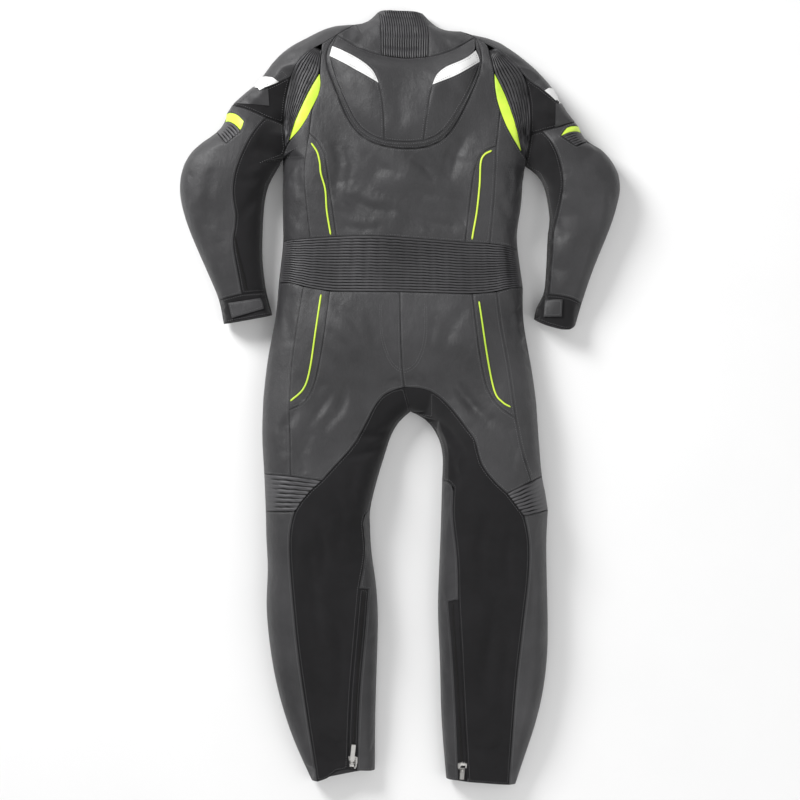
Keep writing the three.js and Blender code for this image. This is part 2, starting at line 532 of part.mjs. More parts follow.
function triangulate(loop, extra) {
  const all = [...loop, ...extra];
  const points = all.map(([x, y], i) => [x + TREMBLE * Math.sin(i * 7.3), y + TREMBLE * Math.cos(i * 5.1)]);
  const vectors = points.slice(0, loop.length).map(([x, y]) => new THREE.Vector2(x, y));
  let tris = THREE.ShapeUtils.triangulateShape(vectors, []).map((t) => (
    area2(points[t[0]], points[t[1]], points[t[2]]) < 0 ? [t[0], t[2], t[1]] : t));
  extra.forEach((p, n) => {
    const id = loop.length + n;
    const at = tris.findIndex(([a, b, c]) => area2(points[a], points[b], p) > SLIVER
      && area2(points[b], points[c], p) > SLIVER && area2(points[c], points[a], p) > SLIVER);
    if (at < 0) return;
    const [a, b, c] = tris[at];
    tris.splice(at, 1, [a, b, id], [b, c, id], [c, a, id]);
  });
  for (let pass = 0; pass < FLIP_PASSES; pass += 1) {
    const edges = new Map();
    tris.forEach((t, i) => t.forEach((a, k) => edges.set(a * EDGE_KEY + t[(k + 1) % 3], i)));
    const touched = new Set();
    for (const [key, i] of edges) {
      const a = Math.floor(key / EDGE_KEY);
      const b = key % EDGE_KEY;
      const j = edges.get(b * EDGE_KEY + a);
      if (j === undefined || touched.has(i) || touched.has(j)) continue;
      const c = tris[i].find((v) => v !== a && v !== b);
      const d = tris[j].find((v) => v !== a && v !== b);
      const open = area2(points[a], points[d], points[c]) > SLIVER
        && area2(points[d], points[b], points[c]) > SLIVER;
      if (!open || !inCircle(points[a], points[b], points[c], points[d])) continue;
      tris[i] = [a, d, c];
      tris[j] = [d, b, c];
      touched.add(i).add(j);
    }
    if (!touched.size) break;
  }
  return { points: all, tris };
}

// Twice an outline's area, positive where it runs counterclockwise
function turnOf(points) {
  return points.reduce((sum, p, i) => {
    const q = points[(i + 1) % points.length];
    return sum + p[0] * q[1] - q[0] * p[1];
  }, 0);
}

// The directions into a panel from each outline point, one for each seam that meets there
function seamNormals({ points, kinds }) {
  const n = points.length;
  return points.map((p, i) => [i, (i + n - 1) % n].filter((k) => kinds[k] === 'seam').map((k) => {
    const [a, b] = [points[k], points[(k + 1) % n]];
    const size = Math.hypot(b[0] - a[0], b[1] - a[1]);
    return [(a[1] - b[1]) / size, (b[0] - a[0]) / size];
  }));
}

// Each outline point moved in by half the seam gap, but never off a side line
function inset({ points, kinds }) {
  const n = points.length;
  const sign = Math.sign(turnOf(points));
  return points.map((p, i) => {
    const before = points[(i + n - 1) % n];
    const after = points[(i + 1) % n];
    const u = [p[0] - before[0], p[1] - before[1]];
    const v = [after[0] - p[0], after[1] - p[1]];
    const [lu, lv] = [Math.hypot(...u), Math.hypot(...v)];
    const n1 = [-u[1] / lu * sign, u[0] / lu * sign];
    const n2 = [-v[1] / lv * sign, v[0] / lv * sign];
    const o1 = kinds[(i + n - 1) % n] === 'seam' ? SEAM_GAP / 2 : 0;
    const o2 = kinds[i] === 'seam' ? SEAM_GAP / 2 : 0;
    const det = n1[0] * n2[1] - n1[1] * n2[0];
    if (n1[0] * n2[0] + n1[1] * n2[1] > 0.9) {
      const o = Math.max(o1, o2);
      return [p[0] + (n1[0] + n2[0]) / 2 * o, p[1] + (n1[1] + n2[1]) / 2 * o];
    }
    return [p[0] + (o1 * n2[1] - o2 * n1[1]) / det, p[1] + (o2 * n1[0] - o1 * n2[0]) / det];
  });
}

// Points inside an outline: rows near the side lines, along the folds, and an even field
function fieldPoints(loop, kinds, step, rings, folded) {
  const kept = [];
  const edge = [...loop, loop[0]];
  const add = (p, room) => {
    if (!inside(p, loop) || distanceTo(p, edge).d < Math.min(room, RING_MARGIN)) return;
    if (kept.every((q) => Math.hypot(p[0] - q[0], p[1] - q[1]) > room)) kept.push(p);
  };
  rings.forEach((ring, r) => {
    loop.forEach((p, i) => {
      const near = sideOf(p);
      if (near.d > 0.2 || kinds[i] !== 'side') return;
      const g = inward(p, near.d, near.gx, near.gy);
      const q = [p[0] + g[0] * ring, p[1] + g[1] * ring];
      const room = Math.min(6, 0.75 * (ring - (rings[r - 1] ?? 0)));
      if (inside(q, loop) && Math.abs(sideOf(q).d - ring) < 0.8 && distanceTo(q, edge).d > room - 0.1
        && kept.every((k) => Math.hypot(q[0] - k[0], q[1] - k[1]) > room)) kept.push(q);
    });
  });
  if (folded) foldLines.forEach((line) => line.forEach((p) => add(p, FOLD_ROOM)));
  const box = new THREE.Box2().setFromPoints(loop.map(([x, y]) => new THREE.Vector2(x, y)));
  const rise = step * Math.sqrt(3) / 2;
  for (let row = Math.ceil(box.min.y / rise); row * rise < box.max.y; row += 1) {
    for (let col = Math.floor(box.min.x / step) - 1; col * step < box.max.x; col += 1) {
      const p = [(col + (row & 1) / 2) * step, row * rise];
      if (distanceTo(p, edge).d > step * 0.45) add(p, step * 0.6);
    }
  }
  return kept;
}

// A closed wall from outer points and the triangles and border between them
function wallSolid(outer, inner, tris, innerTris, outerRim, innerRim) {
  const positions = [...outer, ...inner].flat();
  const base = outer.length;
  const index = [...tris.flat(), ...innerTris.flatMap(([a, b, c]) => [base + a, base + c, base + b])];
  let [i, j] = [0, 0];
  const [m, n] = [outerRim.length, innerRim.length];
  while (i < m || j < n) {
    const a = outerRim[i % m];
    const b = base + innerRim[j % n];
    const takeOuter = j >= n || (i < m && outerRim.share[i] <= innerRim.share[j]);
    if (takeOuter) {
      index.push(a, b, outerRim[(i + 1) % m]);
      i += 1;
    } else {
      index.push(a, b, base + innerRim[(j + 1) % n]);
      j += 1;
    }
  }
  const geometry = new THREE.BufferGeometry();
  geometry.setAttribute('position', new THREE.Float32BufferAttribute(positions, 3));
  geometry.setIndex(index);
  return geometry;
}

// A border's point numbers, with each one's share of its length
function rimOf(ids, points) {
  const rim = [...ids];
  let run = 0;
  const steps = ids.map((id, i) => {
    const next = ids[(i + 1) % ids.length];
    run += Math.hypot(points[next][0] - points[id][0], points[next][1] - points[id][1]);
    return run;
  });
  rim.share = steps.map((s) => s / run);
  return rim;
}

// The same outline, run counterclockwise
function oriented({ points, kinds }) {
  if (turnOf(points) > 0) return { points, kinds };
  const back = [...points].reverse();
  const n = kinds.length;
  return { points: back, kinds: back.map((_, i) => kinds[(2 * n - 2 - i) % n]) };
}

// One cloth panel: a wall over its outline, on the back or on the front
function panel(spec) {
  const { loop, wall = LEATHER, front = false } = spec;
  const { step = front ? FRONT_STEP : BACK_STEP, rings = front ? FRONT_RINGS : BACK_RINGS } = spec;
  const shape = oriented(chain(loop));
  const edge = inset(shape);
  const field = fieldPoints(edge, shape.kinds, step, rings, !front);
  const { points, tris } = triangulate(edge, field);
  const outer = [];
  const inner = [];
  const inwards = seamNormals(shape);
  points.forEach((p, i) => {
    const { z, normal } = front ? frontPoint(p) : backPoint(p);
    const shift = [-normal.x * wall, -normal.y * wall];
    for (const [mx, my] of inwards[i] ?? []) {
      const across = Math.min(0, shift[0] * mx + shift[1] * my);
      shift[0] -= across * mx;
      shift[1] -= across * my;
    }
    outer.push([p[0], p[1], z]);
    inner.push([p[0] + shift[0], p[1] + shift[1], z - normal.z * wall]);
  });
  const rim = rimOf(edge.map((_, i) => i), points);
  const faces = front ? tris.map(([a, b, c]) => [a, c, b]) : tris;
  const geometry = wallSolid(outer, inner, faces, faces, rim, rim);
  if (front) flipSides(geometry, faces.length * 6);
  return geometry;
}

function flipSides(geometry, start) {
  const { array } = geometry.index;
  for (let i = start; i < array.length; i += 3) [array[i + 1], array[i + 2]] = [array[i + 2], array[i + 1]];
}

// The point at a share of a line's length
function along(line, share) {
  const steps = line.slice(1).map((p, i) => Math.hypot(p[0] - line[i][0], p[1] - line[i][1]));
  let rest = share * steps.reduce((a, b) => a + b, 0);
  for (let i = 0; i < steps.length; i += 1) {
    if (rest <= steps[i] || i === steps.length - 1) {
      const s = Math.min(1, rest / steps[i]);
      return [0, 1].map((k) => line[i][k] + s * (line[i + 1][k] - line[i][k]));
    }
    rest -= steps[i];
  }
  return line[0];
}

function shares(line) {
  const steps = line.slice(1).map((p, i) => Math.hypot(p[0] - line[i][0], p[1] - line[i][1]));
  const total = steps.reduce((a, b) => a + b, 0);
  let run = 0;
  return [0, ...steps.map((s) => (run += s) / total)];
}

function openChain(names) {
  const { points } = chain(names);
  const last = names[names.length - 1];
  const own = LINES[last.replace('-', '')].points;
  return [...points, last.startsWith('-') ? own[0] : own[own.length - 1]];
}

// A ribbed stretch panel: ribs run from the first end to the last, over a plain inside
function ribbed({ first, last, start, end, ribs, wall = STRETCH }) {
  const A = openChain(first);
  const B = openChain(last);
  const C = start ? openChain(start) : null;
  const D = openChain(end);
  const rows = 2 * ribs;
  const at = (u, v) => {
    const [a, b, c, d] = [along(A, u), along(B, u), C ? along(C, v) : A[0], along(D, v)];
    return [0, 1].map((k) => (1 - v) * a[k] + v * b[k] + (1 - u) * c[k] + u * d[k]
      - (1 - u) * (1 - v) * A[0][k] - u * (1 - v) * A[A.length - 1][k]
      - (1 - u) * v * B[0][k] - u * v * B[B.length - 1][k]);
  };
  const length = Math.hypot(...[0, 1].map((k) => at(1, 0.5)[k] - at(0, 0.5)[k]));
  const onSide = (u) => sideOf(at(u, 0.5)).d < 0.5;
  const lowU = start && onSide(0) ? 0 : (start ? RIB_TRIM : RIB_TIP) / length;
  const highU = onSide(1) ? 1 : 1 - RIB_TRIM / length;
  const columns = [lowU, ...shares(A).filter((u) => u > lowU + 2 / length && u < highU - 2 / length), highU];
  const pulled = (i, v) => {
    const u = columns[i];
    const trim = RIB_TRIM / (Math.hypot(...[0, 1].map((k) => at(u, 1)[k] - at(u, 0)[k])) || 1);
    return at(u, THREE.MathUtils.clamp(v, trim, 1 - trim));
  };
  const lifted = (p, rise) => {
    const { z, normal } = backPoint(p);
    const fade = THREE.MathUtils.smoothstep(sideOf(p).d, 0, RIB_FADE);
    const slip = sideOf(p).d < RIB_FADE ? wall : 0;
    return {
      top: [p[0], p[1], z + rise * fade],
      low: [p[0] - normal.x * slip, p[1] - normal.y * slip, z - normal.z * wall],
    };
  };
  const grid = (levels, pick) => columns.flatMap((_, i) => levels.map((v, j) => pick(pulled(i, v), j)));
  const levels = Array.from({ length: rows + 1 }, (_, j) => j / rows);
  const outer = grid(levels, (p, j) => lifted(p, j % 2 ? RIB_HEIGHT : 0).top);
  const inner = grid(PLAIN_ROWS, (p) => lifted(p, 0).low);
  const faces = (n) => {
    const list = [];
    for (let i = 0; i + 1 < columns.length; i += 1) {
      for (let j = 0; j < n; j += 1) {
        const a = i * (n + 1) + j;
        list.push([a, a + n + 1, a + n + 2], [a, a + n + 2, a + 1]);
      }
    }
    return list;
  };
  const border = (n, points) => {
    const last1 = (columns.length - 1) * (n + 1);
    const ids = [];
    for (let i = 0; i + 1 < columns.length; i += 1) ids.push(i * (n + 1));
    for (let j = 0; j < n; j += 1) ids.push(last1 + j);
    for (let i = columns.length - 1; i > 0; i -= 1) ids.push(i * (n + 1) + n);
    for (let j = n; j > 0; j -= 1) ids.push(j);
    const rim = [...ids];
    const side = [columns.length - 1, n, columns.length - 1, n];
    rim.share = side.flatMap((count, s) => Array.from({ length: count }, (_, k) => s + (k + 1) / count));
    return rim;
  };
  const [m, n] = [rows, PLAIN_ROWS.length - 1];
  const geometry = wallSolid(outer, inner, faces(m), faces(n), border(m), border(n));
  const order = area2(at(0.3, 0.3), at(0.6, 0.3), at(0.3, 0.6));
  if (order < 0) flipSides(geometry, 0);
  return geometry;
}

// Colours: charcoal leather, stretch cloth, rib, bright inlay, white leather, metal
const LOOKS = {
  leather: { color: 0x4b4a4d, roughness: 0.55, metalness: 0 },
  stretch: { color: 0x2d2a2e, roughness: 0.9, metalness: 0 },
  rib: { color: 0x434245, roughness: 0.7, metalness: 0 },
  bright: { color: 0xd6ff5e, roughness: 0.5, metalness: 0 },
  white: { color: 0xf2f2ef, roughness: 0.45, metalness: 0 },
  metal: { color: 0xb9b9b6, roughness: 0.3, metalness: 0.9 },
};

const suit = new THREE.Group();

function addMesh(name, geometry, look) {
  const mesh = new THREE.Mesh(geometry, new THREE.MeshStandardMaterial(LOOKS[look]));
  mesh.name = name;
  suit.add(mesh);
}

// Back panels in plan, each by its seams in order
const BACK_PANELS = {
  yoke_left: { loop: ['collar_side_l', 'neck_side_l', 'yoke_seam_l', 'nape_side_l', '-collar_seam_l'] },
  yoke_right: { loop: ['collar_side_r', 'neck_side_r', 'yoke_seam_r', '-nape_side_r', '-collar_seam_r'] },
  hump_centre: { loop: ['nape_side_l', 'nape_m', 'nape_side_r', 'horn_seam_r', '-flash_top_r', 'spine_r',
    '-rim_in_m', '-spine_l', '-flash_top_l', '-horn_seam_l'] },
  hump_flash_left: { loop: ['-cheek_seam_l', 'flash_top_l', '-flash_low_l'], look: 'white' },
  hump_flash_right: { loop: ['flash_low_r', '-cheek_seam_r', '-flash_top_r'], look: 'white' },
  hump_inset_left: { loop: ['flash_low_l', 'spine_l', '-rim_in_l'] },
  hump_inset_right: { loop: ['-flash_low_r', 'spine_r', 'rim_in_r'] },
  hump_rim: { loop: ['rim_out', 'horn_seam_r', 'cheek_seam_r', '-rim_in_r', '-rim_in_m', '-rim_in_l',
    '-cheek_seam_l', '-horn_seam_l'] },
  back_main: { loop: ['rim_out', 'pleat_top_r', 'pleat_in_r', 'lens_in_r1', 'strip_top_r', 'strip_in_r',
    '-waist_seam_m', '-strip_in_l', '-strip_top_l', '-lens_in_l1', '-pleat_in_l', '-pleat_top_l'] },
  back_strip_left: { loop: ['strip_in_l', '-waist_seam_l1', '-strip_out_l'] },
  back_strip_right: { loop: ['strip_in_r', 'waist_seam_r1', '-strip_out_r'] },
  back_side_left: { loop: ['torso_l', 'waist_seam_l0', '-strip_out_l', '-strip_top_l', 'lens_in_l2',
    '-pleat_end_seam_l', 'armhole_low_l'] },
  back_side_right: { loop: ['torso_r', '-waist_seam_r0', '-strip_out_r', '-strip_top_r', 'lens_in_r2',
    '-pleat_end_seam_r', 'armhole_low_r'] },
  shoulder_lens_left: { loop: ['lens_out_l', '-lens_in_l2', '-lens_in_l1'], look: 'bright' },
  shoulder_lens_right: { loop: ['lens_out_r', '-lens_in_r2', '-lens_in_r1'], look: 'bright' },
  shoulder_cap_left: { loop: ['shoulder_l', 'upper_arm_l', 'arm_seam_l', '-pleat_out_l1', '-pleat_top_l',
    '-yoke_seam_l'] },
  shoulder_cap_right: { loop: ['shoulder_r', 'upper_arm_r', 'arm_seam_r', '-pleat_out_r1', '-pleat_top_r',
    '-yoke_seam_r'] },
  seat_left: { loop: ['hip_seam_l2', 'tail_seam', 'thigh_seam_l', '-knee_top_l1', '-side_seam_l2',
    '-strip_low_l'] },
  seat_right: { loop: ['hip_seam_r2', 'strip_low_r', 'side_seam_r2', '-knee_top_r1', '-thigh_seam_r',
    '-tail_seam'] },
  hip_strip_left: { loop: ['hip_seam_l1', 'strip_low_l', '-side_seam_l1'] },
  hip_strip_right: { loop: ['hip_seam_r1', 'side_seam_r1', '-strip_low_r'] },
  thigh_side_left: { loop: ['hip_side_l', 'thigh_l', 'knee_top_l0', '-side_seam_l2', '-side_seam_l1',
    '-hip_seam_l0'] },
  thigh_side_right: { loop: ['hip_side_r', 'thigh_r', '-knee_top_r0', '-side_seam_r2', '-side_seam_r1',
    'hip_seam_r0'] },
  shin_left: { loop: ['shin_l', 'hem_shin_l', '-shin_seam_l', '-knee_low_l'] },
  shin_right: { loop: ['shin_r', '-hem_shin_r', '-shin_seam_r', 'knee_low_r'] },
  inner_stretch_left: { loop: ['crotch_seam', 'inner_thigh_l', 'calf_seam_l', 'zip_out_l', '-hem_calf_l',
    '-shin_seam_l', '-knee_in_l', '-thigh_seam_l'], look: 'stretch', wall: STRETCH },
  inner_stretch_right: { loop: ['crotch_seam', 'inner_thigh_r', 'calf_seam_r', 'zip_out_r', 'hem_calf_r',
    '-shin_seam_r', '-knee_in_r', '-thigh_seam_r'], look: 'stretch', wall: STRETCH },
  inner_leather_left: { loop: ['calf_side_l', '-hem_inner_l', '-zip_in_l', '-zip_top_seam_l',
    '-calf_seam_l'] },
  inner_leather_right: { loop: ['calf_side_r', 'hem_inner_r', '-zip_in_r', '-zip_top_seam_r',
    '-calf_seam_r'] },
  upper_sleeve_left: { loop: ['arm_back_l', 'fold_seam_l1', 'fold_seam_l2', '-pleat_out_l2', '-arm_seam_l'],
    look: 'stretch', wall: STRETCH },
  upper_sleeve_right: { loop: ['arm_back_r', 'fold_seam_r1', 'fold_seam_r2', '-pleat_out_r2',
    '-arm_seam_r'], look: 'stretch', wall: STRETCH },
  elbow_band_left: { loop: ['band_side_l', 'band_low_l', '-band_top_l'], look: 'bright' },
  elbow_band_right: { loop: ['band_side_r', 'band_low_r', '-band_top_r'], look: 'bright' },
  forearm_leather_left: { loop: ['arm_fold_l', 'band_top_l', 'elbow_end_l', '-elbow_low_l', 'forearm_l',
    'cuff_seam_l0', '-forearm_seam_l', '-fold_seam_l1'] },
  forearm_leather_right: { loop: ['arm_fold_r', 'band_top_r', 'elbow_end_r', '-elbow_low_r', 'forearm_r',
    '-cuff_seam_r0', '-forearm_seam_r', '-fold_seam_r1'] },
  forearm_stretch_left: { loop: ['inner_arm_l', '-cuff_seam_l1', '-forearm_seam_l', 'fold_seam_l2',
    'pleat_out_l3', 'armhole_low_l'], look: 'stretch', wall: STRETCH },
  forearm_stretch_right: { loop: ['inner_arm_r', 'cuff_seam_r1', '-forearm_seam_r', 'fold_seam_r2',
    'pleat_out_r3', 'armhole_low_r'], look: 'stretch', wall: STRETCH },
  calf_zip_left: { loop: ['zip_top_seam_l', 'zip_in_l', '-hem_zip_l', '-zip_out_l'], look: 'stretch',
    wall: STRETCH, slider: 'left' },
  calf_zip_right: { loop: ['zip_top_seam_r', 'zip_in_r', 'hem_zip_r', '-zip_out_r'], look: 'stretch',
    wall: STRETCH, slider: 'right' },
  cuff_left: { loop: ['cuff_seam_l0', 'cuff_seam_l1', 'cuff_in_l', '-cuff_mouth_l', '-cuff_out_l'],
    look: 'stretch', wall: STRETCH, step: CUFF_STEP,
    rings: CUFF_RINGS },
  cuff_right: { loop: ['cuff_seam_r1', 'cuff_seam_r0', 'cuff_out_r', 'cuff_mouth_r', '-cuff_in_r'],
    look: 'stretch', wall: STRETCH, step: CUFF_STEP,
    rings: CUFF_RINGS },
};

const FRONT_PANELS = {
  front_left: { loop: ['neck_front_l', 'front_zip_l', '-front_hip_l', '-hip_side_l', '-lumbar_l', '-torso_l',
    '-front_armhole_l', '-shoulder_l', '-neck_side_l', '-collar_side_l'] },
  front_right: { loop: ['neck_front_r', 'collar_side_r', 'neck_side_r', 'shoulder_r', 'front_armhole_r',
    'torso_r', 'lumbar_r', 'hip_side_r', '-front_hip_r', '-front_zip_r'] },
  front_zip: { loop: ['neck_front_m', 'front_zip_r', '-front_zip_end_r', '-front_zip_end_l',
    '-front_zip_l'], look: 'stretch' },
  front_sleeve_left: { loop: ['upper_arm_l', 'arm_back_l', 'arm_fold_l', 'band_side_l', 'elbow_side_l',
    'forearm_l', 'cuff_out_l', 'cuff_mouth_l', '-cuff_in_l', '-inner_arm_l', '-front_armhole_l'] },
  front_sleeve_right: { loop: ['upper_arm_r', 'arm_back_r', 'arm_fold_r', 'band_side_r', 'elbow_side_r',
    'forearm_r', 'cuff_out_r', 'cuff_mouth_r', '-cuff_in_r', '-inner_arm_r', '-front_armhole_r'] },
  front_leg_left: { loop: ['thigh_l', 'knee_l', 'shin_l', 'hem_front_l', '-calf_side_l', '-inner_thigh_l',
    '-front_crotch', '-front_zip_end_l', '-front_hip_l'] },
  front_leg_right: { loop: ['thigh_r', 'knee_r', 'shin_r', '-hem_front_r', '-calf_side_r',
    '-inner_thigh_r', '-front_crotch', 'front_zip_end_r', 'front_hip_r'] },
};

// Ribbed panels: the edges that the ribs run beside, and the ends
const RIB_PANELS = {
  collar_rib: { first: ['collar_seam_l'], last: ['collar_seam_r'], start: ['neck_back'], end: ['nape_m'],
    ribs: 20 },
  lumbar_rib: { first: ['waist_seam_l0', 'waist_seam_l1', 'waist_seam_m', 'waist_seam_r1', 'waist_seam_r0'],
    last: ['hip_seam_l0', 'hip_seam_l1', 'hip_seam_l2', 'hip_seam_r2', 'hip_seam_r1', 'hip_seam_r0'],
    start: ['lumbar_l'], end: ['lumbar_r'], ribs: 19 },
  shoulder_rib_left: { first: ['pleat_out_l1', 'pleat_out_l2', 'pleat_out_l3'],
    last: ['pleat_in_l', 'lens_out_l'], end: ['pleat_end_seam_l'], ribs: 8 },
  shoulder_rib_right: { first: ['pleat_out_r1', 'pleat_out_r2', 'pleat_out_r3'],
    last: ['pleat_in_r', 'lens_out_r'], end: ['pleat_end_seam_r'], ribs: 8 },
  knee_rib_left: { first: ['knee_top_l0', 'knee_top_l1'], last: ['knee_low_l'], start: ['knee_l'],
    end: ['knee_in_l'], ribs: 8 },
  knee_rib_right: { first: ['-knee_top_r0', '-knee_top_r1'], last: ['-knee_low_r'], start: ['knee_r'],
    end: ['knee_in_r'], ribs: 8 },
  elbow_rib_left: { first: ['band_low_l'], last: ['elbow_low_l'], start: ['elbow_side_l'],
    end: ['elbow_end_l'], ribs: 6 },
  elbow_rib_right: { first: ['band_low_r'], last: ['elbow_low_r'], start: ['elbow_side_r'],
    end: ['elbow_end_r'], ribs: 6 },
};

// Wrist straps lie on the cuffs: corners in plan
const STRAPS = {
  cuff_strap_left: [[-324, 180], [-266, 189], [-261, 180], [-259, 168], [-317, 151]],
  cuff_strap_right: [[276, 185], [307, 187], [306, 154], [272, 153]],
};

function strap(corners) {
  const loop = corners.flatMap((p, i) => {
    const q = corners[(i + 1) % corners.length];
    const count = Math.ceil(Math.hypot(q[0] - p[0], q[1] - p[1]) / STRAP_STEP);
    return Array.from({ length: count }, (_, k) => [0, 1].map((c) => p[c] + k / count * (q[c] - p[c])));
  });
  const shape = oriented({ points: loop, kinds: loop.map(() => 'mouth') });
  const field = fieldPoints(shape.points, shape.kinds, STRAP_STEP, [], false);
  const { points, tris } = triangulate(shape.points, field);
  const raised = (over) => points.map((p) => {
    const { z, normal } = backPoint(p);
    return [p[0] + normal.x * over, p[1] + normal.y * over, z + normal.z * over];
  });
  const rim = rimOf(shape.points.map((_, i) => i), points);
  return wallSolid(raised(STRAP_GAP + STRAP), raised(STRAP_GAP), tris, tris, rim, rim);
}

// Calf zip sliders: place in plan, turn, and the pull tab's length, pointing up or down the leg
const SLIDERS = {
  left: { x: -91, y: -690, turn: -6, pitch: 8, length: 36, down: false },
  right: { x: 118, y: -704, turn: -4, pitch: 0, length: 17, down: true },
};

// Metal blocks, bars, sliders and pull tabs
function solid(geometry) {
  const plain = geometry.index ? geometry.clone() : mergeVertices(geometry);
  for (const name of ['normal', 'uv']) plain.deleteAttribute(name);
  const merged = mergeVertices(plain, 1e-4);
  return new wasm.Manifold(new wasm.Mesh({
    numProp: 3,
    vertProperties: new Float32Array(merged.attributes.position.array),
    triVerts: new Uint32Array(merged.index.array),
  }));
}

function geometryOf(manifold) {
  const mesh = manifold.getMesh();
  const geometry = new THREE.BufferGeometry();
  geometry.setAttribute('position', new THREE.BufferAttribute(mesh.vertProperties, 3));
  geometry.setIndex(new THREE.BufferAttribute(mesh.triVerts, 1));
  return geometry;
}

function block(width, length, height, x, y, z) {
  return solid(new THREE.BoxGeometry(width, length, height).translate(x, y, z));
}

function rod(radius, length) {
  return solid(new THREE.CylinderGeometry(radius, radius, length, 12).rotateZ(Math.PI / 2));
}

// The pull tab's pin: its place over the tape, turned along the zip
function hingePlace({ x, y, turn, pitch, down }) {
  const lift = HINGE_DROP + SLIDER.body - SLIDER.sink;
  return new THREE.Matrix4().makeTranslation(x, y, backPoint([x, y]).z + lift)
    .multiply(new THREE.Matrix4().makeRotationZ(THREE.MathUtils.degToRad(turn + (down ? 180 : 0))))
    .multiply(new THREE.Matrix4().makeRotationX(THREE.MathUtils.degToRad(pitch)));
}

function slider(spec) {
  const inner = TAB.neck / 2 + SEAM_GAP;
  const high = HINGE_DROP + TAB.thick;
  const middle = (TAB.thick - HINGE_DROP) / 2 - SLIDER.dip;
  const post = (side) => (
    block(SLIDER.post, SLIDER.depth, high, side * (inner + SLIDER.post / 2), 0, middle));
  const shift = spec.down ? SLIDER.shift : -SLIDER.shift;
  const body = block(SLIDER.width, SLIDER.length, SLIDER.body, 0, shift, -HINGE_DROP - SLIDER.body / 2);
  const all = body.add(post(1)).add(post(-1)).add(rod(SLIDER.bar, 2 * inner + SLIDER.post));
  return geometryOf(all).applyMatrix4(hingePlace(spec));
}

function pullTab(spec) {
  const neck = block(TAB.neck, TAB.reach, TAB.thick, 0, TAB.reach / 2, 0);
  const plate = block(TAB.width, spec.length - TAB.reach, TAB.thick, 0, (spec.length + TAB.reach) / 2, 0);
  const tab = neck.add(plate).add(rod(TAB.eye, TAB.neck)).subtract(rod(TAB.hole, TAB.neck + 2));
  return geometryOf(tab).applyMatrix4(hingePlace(spec));
}

for (const [name, spec] of Object.entries(BACK_PANELS)) {
  const cloth = panel(spec);
  const whole = spec.slider ? geometryOf(solid(cloth).add(solid(slider(SLIDERS[spec.slider])))) : cloth;
  addMesh(name, whole, spec.look ?? 'leather');
}
for (const [name, corners] of Object.entries(STRAPS)) addMesh(name, strap(corners), 'leather');
for (const [side, spec] of Object.entries(SLIDERS)) addMesh(`pull_tab_${side}`, pullTab(spec), 'metal');
for (const [name, spec] of Object.entries(FRONT_PANELS)) {
  addMesh(name, panel({ ...spec, front: true }), spec.look ?? 'leather');
}
for (const [name, spec] of Object.entries(RIB_PANELS)) addMesh(name, ribbed(spec), 'rib');

export default suit;
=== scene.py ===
import json
import math

import bmesh
import bpy
import numpy as np
from bpy.props import FloatProperty, FloatVectorProperty, PointerProperty
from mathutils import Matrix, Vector
from mathutils.bvhtree import BVHTree
from mathutils.geometry import delaunay_2d_cdt


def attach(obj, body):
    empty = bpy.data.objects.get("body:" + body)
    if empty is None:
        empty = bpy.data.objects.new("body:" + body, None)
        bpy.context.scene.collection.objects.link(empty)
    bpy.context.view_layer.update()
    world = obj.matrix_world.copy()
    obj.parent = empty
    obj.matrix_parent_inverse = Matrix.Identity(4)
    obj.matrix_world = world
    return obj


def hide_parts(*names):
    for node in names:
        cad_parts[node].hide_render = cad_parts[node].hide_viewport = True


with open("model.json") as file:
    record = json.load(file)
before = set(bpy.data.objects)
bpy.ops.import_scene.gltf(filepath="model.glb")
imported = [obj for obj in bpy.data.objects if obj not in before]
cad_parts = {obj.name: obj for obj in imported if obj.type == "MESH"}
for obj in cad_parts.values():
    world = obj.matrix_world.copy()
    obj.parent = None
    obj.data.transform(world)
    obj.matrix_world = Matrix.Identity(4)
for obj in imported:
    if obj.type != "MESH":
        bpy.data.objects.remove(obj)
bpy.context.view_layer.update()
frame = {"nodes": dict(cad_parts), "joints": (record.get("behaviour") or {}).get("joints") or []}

bl_info = {
    "name": "Race suit, laid flat",
    "version": (1, 0, 0),
    "blender": (4, 5, 0),
    "location": "3D View > Sidebar > Race Suit",
    "description": "Dresses the solids of a laid one-piece race suit with leather, stretch cloth and trim",
    "category": "Object",
}

MM = 0.001

HARD_EDGE = math.radians(38)    # a fold of a solid that the rounding keeps
SHARP_RIM = math.radians(50)    # a rim that is shaded as an edge
FACE_EDGE = math.radians(42)    # where a panel's outer face ends
WELD = 2e-6                     # metres between points of a solid that are one point
GRAIN_SCALE = 620.0             # cells of the leather grain to a metre
WEAVE_SCALE = 330.0             # the wave texture's, about 1050 bands to a metre
HOLE_PITCH, HOLE_RADIUS = 4.6, 0.75    # of the perforations, millimetres

BACK_CLOTH = ["back_main", "back_strip_left", "back_strip_right", "back_side_left", "back_side_right",
              "yoke_left", "yoke_right"]
HUMP_CLOTH = ["hump_centre", "hump_flash_left", "hump_flash_right", "hump_inset_left", "hump_inset_right",
              "hump_rim"]
SLEEVE_CLOTH = ["shoulder_lens_left", "shoulder_lens_right", "shoulder_cap_left", "shoulder_cap_right",
                "upper_sleeve_left", "upper_sleeve_right", "elbow_band_left", "elbow_band_right",
                "forearm_leather_left", "forearm_leather_right", "forearm_stretch_left",
                "forearm_stretch_right", "cuff_left", "cuff_right", "cuff_strap_left", "cuff_strap_right"]
LEG_CLOTH = ["seat_left", "seat_right", "hip_strip_left", "hip_strip_right", "thigh_side_left",
             "thigh_side_right", "shin_left", "shin_right", "inner_stretch_left", "inner_stretch_right",
             "inner_leather_left", "inner_leather_right", "calf_zip_left", "calf_zip_right"]
FRONT_CLOTH = ["front_left", "front_right", "front_zip", "front_sleeve_left", "front_sleeve_right",
               "front_leg_left", "front_leg_right"]
